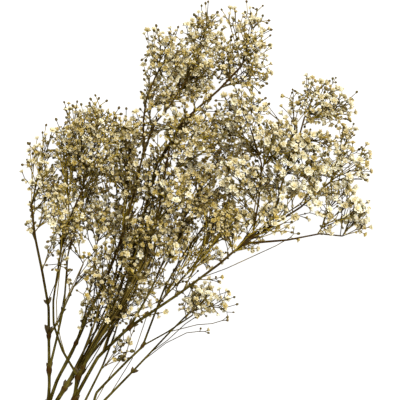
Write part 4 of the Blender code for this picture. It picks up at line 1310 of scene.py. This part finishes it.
def knot_mesh():
    """A small spindle along +Z, of radius one, closed."""
    corners = [(1, 0, 0), (0, 1, 0), (-1, 0, 0), (0, -1, 0), (0, 0, KNOT_LENGTH), (0, 0, -KNOT_LENGTH)]
    faces = [(0, 1, 4), (1, 2, 4), (2, 3, 4), (3, 0, 4), (1, 0, 5), (2, 1, 5), (3, 2, 5), (0, 3, 5)]
    mesh = bpy.data.meshes.new("knot")
    mesh.from_pydata(corners, [], faces)
    mesh.shade_smooth()
    return mesh


def build_scatter_tree():
    """Shapes of a collection on points, each along its point's direction, at its size and spin."""
    tree, given = geometry_tree("shapes_on_points", {"Shapes": "Collection", "Material": "Material"})
    shapes = put(tree, "GeometryNodeCollectionInfo", {
        "Collection": given["Shapes"], "Separate Children": True, "Reset Children": True})
    aim = put(tree, "FunctionNodeAlignRotationToVector", {
        "Vector": named(tree, "direction", "FLOAT_VECTOR")}, axis="Z")
    spin = put(tree, "FunctionNodeAxisAngleToRotation", {
        "Axis": (0.0, 0.0, 1.0), "Angle": named(tree, "spin")})
    turned = put(tree, "FunctionNodeRotateRotation", {
        "Rotation": aim.outputs[0], "Rotate By": spin.outputs[0]}, rotation_space="LOCAL")
    heads = put(tree, "GeometryNodeInstanceOnPoints", {
        "Points": given["Geometry"], "Instance": shapes.outputs[0], "Pick Instance": True,
        "Instance Index": named(tree, "kind", "INT"), "Rotation": turned.outputs[0],
        "Scale": named(tree, "size")})
    finish_tree(tree, heads.outputs[0], given["Material"])
    return tree


def shape_collection(name, meshes):
    """A collection of shapes for the scatter tree to pick from, in the order of their names."""
    collection = bpy.data.collections.new(name)
    for number, mesh in enumerate(meshes):
        thing = bpy.data.objects.new("%s_%02d" % (name, number), mesh)
        collection.objects.link(thing)
    return collection


def scattered(name, places, directions, sizes, ages, shapes, material, seed):
    """Shapes of a collection on places, each of a kind and a spin of its own."""
    draw = np.random.default_rng(seed)
    count = len(places)
    values = {"size": np.array(sizes) * MM, "spin": draw.uniform(0.0, math.tau, count), "age": ages}
    mesh = point_mesh(name, places, values, {"direction": directions})
    kind = mesh.attributes.new("kind", "INT", "POINT")
    kind.data.foreach_set("value", draw.integers(0, len(shapes.objects), count).astype(np.int32))
    return grown(name, mesh, scatter_tree, {"Shapes": shapes, "Material": material})


twig_bark = bark_material("twig_bark", TWIG_DARK, TWIG_OLIVE, TWIG_LIGHT, bark_streaks)
# A lighter, golden copy of the twig bark for the crown, whose extra lightness is partly painted bounce
# light.
crown_bark_and_bounce = bark_material("crown_twig_bark_and_bounce", CROWN_DARK_AND_BOUNCE, CROWN_GOLD_AND_BOUNCE, CROWN_LIGHT_AND_BOUNCE, bark_streaks)
scatter_tree = build_scatter_tree()
knot_shapes = shape_collection("knot_shape", [knot_mesh()])
knots = [knot for _, _, _, members, _ in bunches for spray in members for knot in spray.knots]
knot_places, knot_directions, knot_radii, _ = zip(*(knot for knot in knots if knot[3] > KNOTTED_TIPS))
knot_sizes = KNOT_SWELL * np.array(knot_radii)
knot_piece = scattered("twig_knots", knot_places, knot_directions, knot_sizes,
                       np.zeros(len(knot_places)), knot_shapes, dry_leaf, KNOT_SEED)
add_piece("twig_knots", knot_piece, "dried_wood")
twig_forks = [(place, along, radius, TWIG_BRACT) for place, along, radius, bears in knots
              if bears > BRACTED_TIPS] + side_feet
add_piece("twig_bracts", bract_pairs("twig_bracts", twig_forks, TWIG_BRACT_SEED), "dried_wood")
tone_draw = np.random.default_rng(TONE_SEED)
for bunch, _, _, members, names in bunches:
    twig_lines = [line for spray in members for line in spray.lines]
    twig_radii = [sizes for spray in members for sizes in spray.radii]
    # A twig of the crown is darker where it is thicker.
    darker = 0.0 if bunch in DARK_BUNCHES else TRUNK_TONE
    tones = []
    for sizes in twig_radii:
        tone = tone_draw.uniform(-TWIG_TONE, TWIG_TONE)
        tones += [tone - darker * (size / STALK_RADIUS - 1) for size in sizes]
    twig_wires = line_mesh(bunch + "_twig_lines", twig_lines, twig_radii, {"tone": tones})
    # Twigs of the crown take the lighter golden bark, with its painted bounce light.
    bark = twig_bark if bunch in DARK_BUNCHES else crown_bark_and_bounce
    twig_mesh = grown(bunch + "_twig_lines", twig_wires, rod_tree, {
        "Sides": TWIG_SIDES, "Rib Count": 1, "Rib Depth": 0.0, "Material": bark})
    add_piece(bunch + "_twigs", twig_mesh, "dried_wood", *names)


# Blooms.
# Small double blooms of crumpled papery petals in two whorls, cream at their tips and tan at their
# hearts, each in a green-brown calyx. Every stalk in the heart of a spray ends in one.

BLOOM_SEED = 100
BLOOM_SPIN_SEED = 120
BLOOM_KIND_SEED = 3
BLOOM_RADIUS = 3.7
PETAL_THICKNESS = 0.12
PETAL_WIDTH = 0.8
PETAL_OUTLINE = ((0.0, 0.0, 0.0), (0.5, -0.5, 0.14), (0.96, -0.34, 0.30), (1.0, 0.30, 0.26),
                 (0.55, 0.5, 0.16))
PETAL_MIDDLE = (0.5, 0.0, -0.04)
PETAL_SIZES = (0.85, 1.08)

# How far the petals of a whorl lean apart in degrees and turn aside in radians, and how far each
# whorl is turned against the one outside it.
PETAL_LEAN = 12
PETAL_SHAKE = 0.2
WHORL_TURN = 0.9

CALYX_SIDES = 5
CALYX_RINGS = ((-0.42, 0.09), (-0.26, 0.22), (0.02, 0.26))
CALYX_MARK = -1.0
BLOOM_KINDS = 6
BLOOM_OPENINGS = (-10, 34)
BLOOM_SIZES = (0.74, 1.14)
BLOOM_AGES = (0.6, 1.4)

# The share of fresh, wide blooms in a bunch, and how much larger than the others they are.
FRESH_BLOOMS = {"left_high": 0.12, "left_edge": 0.1, "crown": 0.08, "centre": 0.08, "heart": 0.05}
FRESH_SWELL = 1.25

HEAD_LEAN = 0.25
UPTURN = (0.0, 0.0, 0.45)
PETAL_CREAM = (0.95, 0.93, 0.79, 1.0)
PETAL_TAN = (0.55, 0.45, 0.15, 1.0)
PETAL_AGED = (0.44, 0.315, 0.035, 1.0)
CALYX_GREEN = (0.19, 0.14, 0.016, 1.0)
CALYX_BROWN = (0.15, 0.092, 0.012, 1.0)
PETAL_CRUMPLE = 1400.0
PETAL_BUMP = (0.6, 0.0002)
PETAL_ROUGHNESS = 0.8
PETAL_GLOSS = 0.05
PETAL_GLOW = 0.12
PETAL_GLOW_REACH = (0.002, 0.0016, 0.001)
AGE_SHARE = 1.7

# The share of heads in a bunch that withered before they opened.
WITHERED_BLOOMS = {"top": 0.15, "crown": 0.28, "heart": 0.36, "centre": 0.26, "left_high": 0.38,
                   "left_edge": 0.15, "right_high": 0.1, "hanging": 0.7}

# Each whorl of a bloom: its number of petals, their tilt in degrees and their size.
WHORLS = ((5, 6.0, 1.0), (4, 44.0, 0.8))


def petal_mesh():
    """One cupped petal along +X with a notched crumpled tip, thin, closed, and of a few faces."""
    corners = [(x, PETAL_WIDTH * y, z) for x, y, z in PETAL_OUTLINE]
    x, y, z = PETAL_MIDDLE
    corners += [(x, y, z), (x, y, z - PETAL_THICKNESS)]
    rim = len(PETAL_OUTLINE)
    faces = []
    for corner in range(rim):
        beside = (corner + 1) % rim
        faces.append((corner, beside, rim))
        faces.append((beside, corner, rim + 1))
    mesh = bpy.data.meshes.new("petal")
    mesh.from_pydata(corners, [], faces)
    reach = [min(1.0, math.hypot(x, y)) for x, y, _ in corners]
    mesh.attributes.new("reach", "FLOAT", "POINT").data.foreach_set("value", reach)
    return mesh


def turned_mesh(name, rings, sides, pinch=1.0):
    """A closed form round +Z, through rings of a height and a radius, with every other side drawn in."""
    corners, faces = [], []
    for rise, radius in rings:
        for corner in range(sides):
            turn = math.tau * corner / sides
            reach = radius * (1.0 if corner % 2 else pinch)
            corners.append((reach * math.cos(turn), reach * math.sin(turn), rise))
    for ring in range(len(rings) - 1):
        for corner in range(sides):
            low, beside = ring * sides + corner, ring * sides + (corner + 1) % sides
            faces.append((low, beside, beside + sides, low + sides))
    faces.append(tuple(reversed(range(sides))))
    faces.append(tuple(range(len(corners) - sides, len(corners))))
    mesh = bpy.data.meshes.new(name)
    mesh.from_pydata(corners, [], faces)
    return mesh


def calyx_mesh():
    """The cup under a bloom, along +Z, closed, and marked as no petal by its reach."""
    mesh = turned_mesh("calyx", CALYX_RINGS, CALYX_SIDES)
    marks = [CALYX_MARK] * len(mesh.vertices)
    mesh.attributes.new("reach", "FLOAT", "POINT").data.foreach_set("value", marks)
    return mesh


def drawn(tree, seed, order, low, high):
    """A value for each point, drawn from a seed between two values."""
    node = put(tree, "FunctionNodeRandomValue", {
        "Seed": seed, "ID": order, 2: low, 3: high}, data_type="FLOAT")
    return node.outputs[1]


def build_bloom_tree(name, whorls):
    """A bloom of whorls of petals round a calyx, of radius one, opened as far as Opening says."""
    tree, given = geometry_tree(name, {
        "Petal": "Object", "Calyx": "Object", "Seed": "Int", "Opening": "Float"})
    petal = put(tree, "GeometryNodeObjectInfo", {"Object": given["Petal"]})
    calyx = put(tree, "GeometryNodeObjectInfo", {"Object": given["Calyx"]})
    join = put(tree, "GeometryNodeJoinGeometry")
    tree.links.new(calyx.outputs["Geometry"], join.inputs[0])
    for whorl, (count, tilt, size) in enumerate(whorls):
        stations = put(tree, "GeometryNodePoints", {"Count": count, "Radius": 0.01})
        order = put(tree, "GeometryNodeInputIndex").outputs[0]
        shake = drawn(tree, given["Seed"], order,
                      WHORL_TURN * whorl - PETAL_SHAKE, WHORL_TURN * whorl + PETAL_SHAKE)
        step = result_of(tree, "MULTIPLY", order, math.tau / count)
        turn = result_of(tree, "ADD", step, shake)
        lean = drawn(tree, given["Seed"], order,
                     -math.radians(tilt + PETAL_LEAN), -math.radians(tilt - PETAL_LEAN))
        opened = result_of(tree, "ADD", lean, given["Opening"])
        angles = put(tree, "ShaderNodeCombineXYZ", {1: opened, 2: turn})
        stretch = drawn(tree, given["Seed"], order, PETAL_SIZES[0] * size, PETAL_SIZES[1] * size)
        whorled = put(tree, "GeometryNodeInstanceOnPoints", {
            "Points": stations.outputs[0], "Instance": petal.outputs["Geometry"],
            "Rotation": angles.outputs[0], "Scale": stretch})
        tree.links.new(whorled.outputs[0], join.inputs[0])
    real = put(tree, "GeometryNodeRealizeInstances", {"Geometry": join.outputs[0]})
    put(tree, "NodeGroupOutput", {"Geometry": real.outputs[0]})
    return tree


def petal_material():
    """Papery petals: cream at the tip, tan at the heart, browner with age, green-brown on the calyx."""
    material, tree, shader = new_material("dried_petals", PETAL_ROUGHNESS, PETAL_GLOSS)
    reach = value_at(tree, "reach")
    crumple = mottling(tree, PETAL_CRUMPLE, 3.0)
    fresh = mixed(tree, reach, PETAL_TAN, PETAL_CREAM)
    patchy = result_of(tree, "MULTIPLY", value_at(tree, "age"), crumple)
    spread = result_of(tree, "MULTIPLY", patchy, AGE_SHARE, use_clamp=True)
    aged = mixed(tree, spread, fresh, PETAL_AGED)
    is_petal = result_of(tree, "GREATER_THAN", reach, 0.5 * CALYX_MARK)
    cup = mixed(tree, crumple, CALYX_GREEN, CALYX_BROWN)
    tree.links.new(mixed(tree, is_petal, cup, aged), shader.inputs["Base Color"])
    roughen(tree, shader, crumple, *PETAL_BUMP)
    shader.inputs["Subsurface Weight"].default_value = PETAL_GLOW
    shader.inputs["Subsurface Radius"].default_value = PETAL_GLOW_REACH
    return material


petal_shape = helper("petal_shape", petal_mesh())
calyx_shape = helper("calyx_shape", calyx_mesh())
bloom_tree = build_bloom_tree("bloom_whorls", WHORLS)
bloom_meshes = []
least, most = BLOOM_OPENINGS
for kind in range(BLOOM_KINDS):
    opening = math.radians(least + (most - least) * kind / BLOOM_KINDS)
    bloom_meshes.append(grown("bloom", bpy.data.meshes.new("bloom"), bloom_tree, {
        "Petal": petal_shape, "Calyx": calyx_shape, "Seed": BLOOM_KIND_SEED + kind,
        "Opening": -opening}))
bpy.data.objects.remove(petal_shape)
bpy.data.objects.remove(calyx_shape)
bloom_shapes = shape_collection("bloom_shape", bloom_meshes)
petals = petal_material()
withered_tips = {}
for number, (bunch, size, age, members, names) in enumerate(bunches):
    heads = [head for spray in members for head in spray.heads if not head[2]]
    draw = np.random.default_rng(BLOOM_SEED + number)
    closed = draw.random(len(heads)) < WITHERED_BLOOMS.get(bunch, 0.0)
    withered_tips[bunch] = [head[0] for head, is_closed in zip(heads, closed) if is_closed]
    heads = [head for head, is_closed in zip(heads, closed) if not is_closed]
    places = [place for place, _, _ in heads]
    directions = [unit(along + draw.normal(0.0, HEAD_LEAN, 3) + UPTURN) for _, along, _ in heads]
    sizes = size * BLOOM_RADIUS * draw.uniform(*BLOOM_SIZES, len(heads))
    ages = np.clip(age + draw.beta(*BLOOM_AGES, len(heads)), 0, 1)
    is_fresh = draw.random(len(heads)) < FRESH_BLOOMS.get(bunch, 0.0)
    sizes[is_fresh] *= FRESH_SWELL
    ages[is_fresh] = 0.0
    bloom_piece = scattered(bunch + "_bloom_points", places, directions, sizes, ages, bloom_shapes,
                            petals, BLOOM_SPIN_SEED + number)
    add_piece(bunch + "_blooms", bloom_piece, "dried_bloom", *names)


# Withered heads.
# Small heads that dried before they opened, gold brown and crumpled, on the forks of the twigs and at
# some of their tips. They give the crown its dense golden grain, and are papery like the blooms.

WITHERED_SEED = 320
WITHERED_SPIN_SEED = 340
WITHERED_KINDS = 4
WITHERED_KIND_SEED = 40
WITHERED_WHORLS = ((4, 46.0, 1.0),)
WITHERED_RADIUS = 2.1
WITHERED_SIZES = (0.7, 1.25)
WITHERED_KNOTS = {"top": 0.6, "crown": 0.8, "heart": 0.9, "centre": 0.9, "left_high": 1.0,
                  "left_edge": 0.6, "right_high": 0.4, "tuft": 0.5, "hanging": 0.0}
WITHERED_REACH = 0.5
WITHERED_AGES = (0.45, 1.0)

petal_shape = helper("petal_shape", petal_mesh())
no_calyx = helper("no_calyx", bpy.data.meshes.new("no_calyx"))
withered_tree = build_bloom_tree("withered_whorls", WITHERED_WHORLS)
withered_meshes = [grown("withered", bpy.data.meshes.new("withered"), withered_tree, {
    "Petal": petal_shape, "Calyx": no_calyx, "Seed": WITHERED_KIND_SEED + kind, "Opening": 0.0})
    for kind in range(WITHERED_KINDS)]
bpy.data.objects.remove(petal_shape)
bpy.data.objects.remove(no_calyx)
withered_shapes = shape_collection("withered_shape", withered_meshes)
for number, (bunch, _, _, members, names) in enumerate(bunches):
    if bunch in WITHERED_KNOTS:
        draw = np.random.default_rng(WITHERED_SEED + number)
        places = [place for spray in members for place, _, _, _ in spray.knots
                  if draw.random() < WITHERED_KNOTS[bunch]] + withered_tips[bunch]
        directions = [unit(draw.normal(size=3) + UPTURN) for _ in places]
        places = [place + WITHERED_REACH * direction for place, direction in zip(places, directions)]
        sizes = WITHERED_RADIUS * draw.uniform(*WITHERED_SIZES, len(places))
        ages = draw.uniform(*WITHERED_AGES, len(places))
        withered_piece = scattered(bunch + "_withered_points", places, directions, sizes, ages,
                                   withered_shapes, petals, WITHERED_SPIN_SEED + number)
        add_piece(bunch + "_withered", withered_piece, "dried_bloom", *names)


# Buds.
# Closed buds of about 2 mm at the outermost tips of every spray, like small ribbed drops. They are
# grey green to brown, and their sepals part a little at the tip.

BUD_SEED = 200
BUD_SPIN_SEED = 220
BUD_RADIUS = 1.2
BUD_SIZES = (0.8, 1.2)
BUD_SWELL = {"hanging": 1.35}
BUD_RIBS = 3
BUD_PINCH = 0.88
BUD_RINGS = ((-1.1, 0.34), (-0.4, 0.98), (0.5, 0.9), (1.15, 0.3))
BUD_GREEN = (0.12, 0.115, 0.04, 1.0)
BUD_BROWN = (0.11, 0.07, 0.018, 1.0)
BUD_MOTTLE = 900.0
BUD_BROWNING = 0.6
BUD_ROUGHNESS = 0.7
BUD_GLOSS = 0.1


def bud_mesh():
    """A ribbed drop along +Z, of radius one, closed."""
    mesh = turned_mesh("bud", BUD_RINGS, 2 * BUD_RIBS, BUD_PINCH)
    mesh.shade_smooth()
    return mesh


def bud_material():
    """Dull green and brown, mottled from bud to bud by age."""
    material, tree, shader = new_material("dried_buds", BUD_ROUGHNESS, BUD_GLOSS)
    both = result_of(tree, "ADD", value_at(tree, "age"), mottling(tree, BUD_MOTTLE, 2.0))
    brown = result_of(tree, "MULTIPLY", both, BUD_BROWNING)
    tree.links.new(mixed(tree, brown, BUD_GREEN, BUD_BROWN), shader.inputs["Base Color"])
    return material


bud_shapes = shape_collection("bud_shape", [bud_mesh()])
bud_skin = bud_material()
for number, (bunch, _, age, members, names) in enumerate(bunches):
    heads = [head for spray in members for head in spray.heads if head[2]]
    draw = np.random.default_rng(BUD_SEED + number)
    places = [place for place, _, _ in heads]
    directions = [along for _, along, _ in heads]
    sizes = BUD_SWELL.get(bunch, 1.0) * BUD_RADIUS * draw.uniform(*BUD_SIZES, len(heads))
    ages = np.clip(age + draw.random(len(heads)), 0, 1)
    bud_piece = scattered(bunch + "_bud_points", places, directions, sizes, ages, bud_shapes,
                          bud_skin, BUD_SPIN_SEED + number)
    add_piece(bunch + "_buds", bud_piece, "dried_bloom", *names)
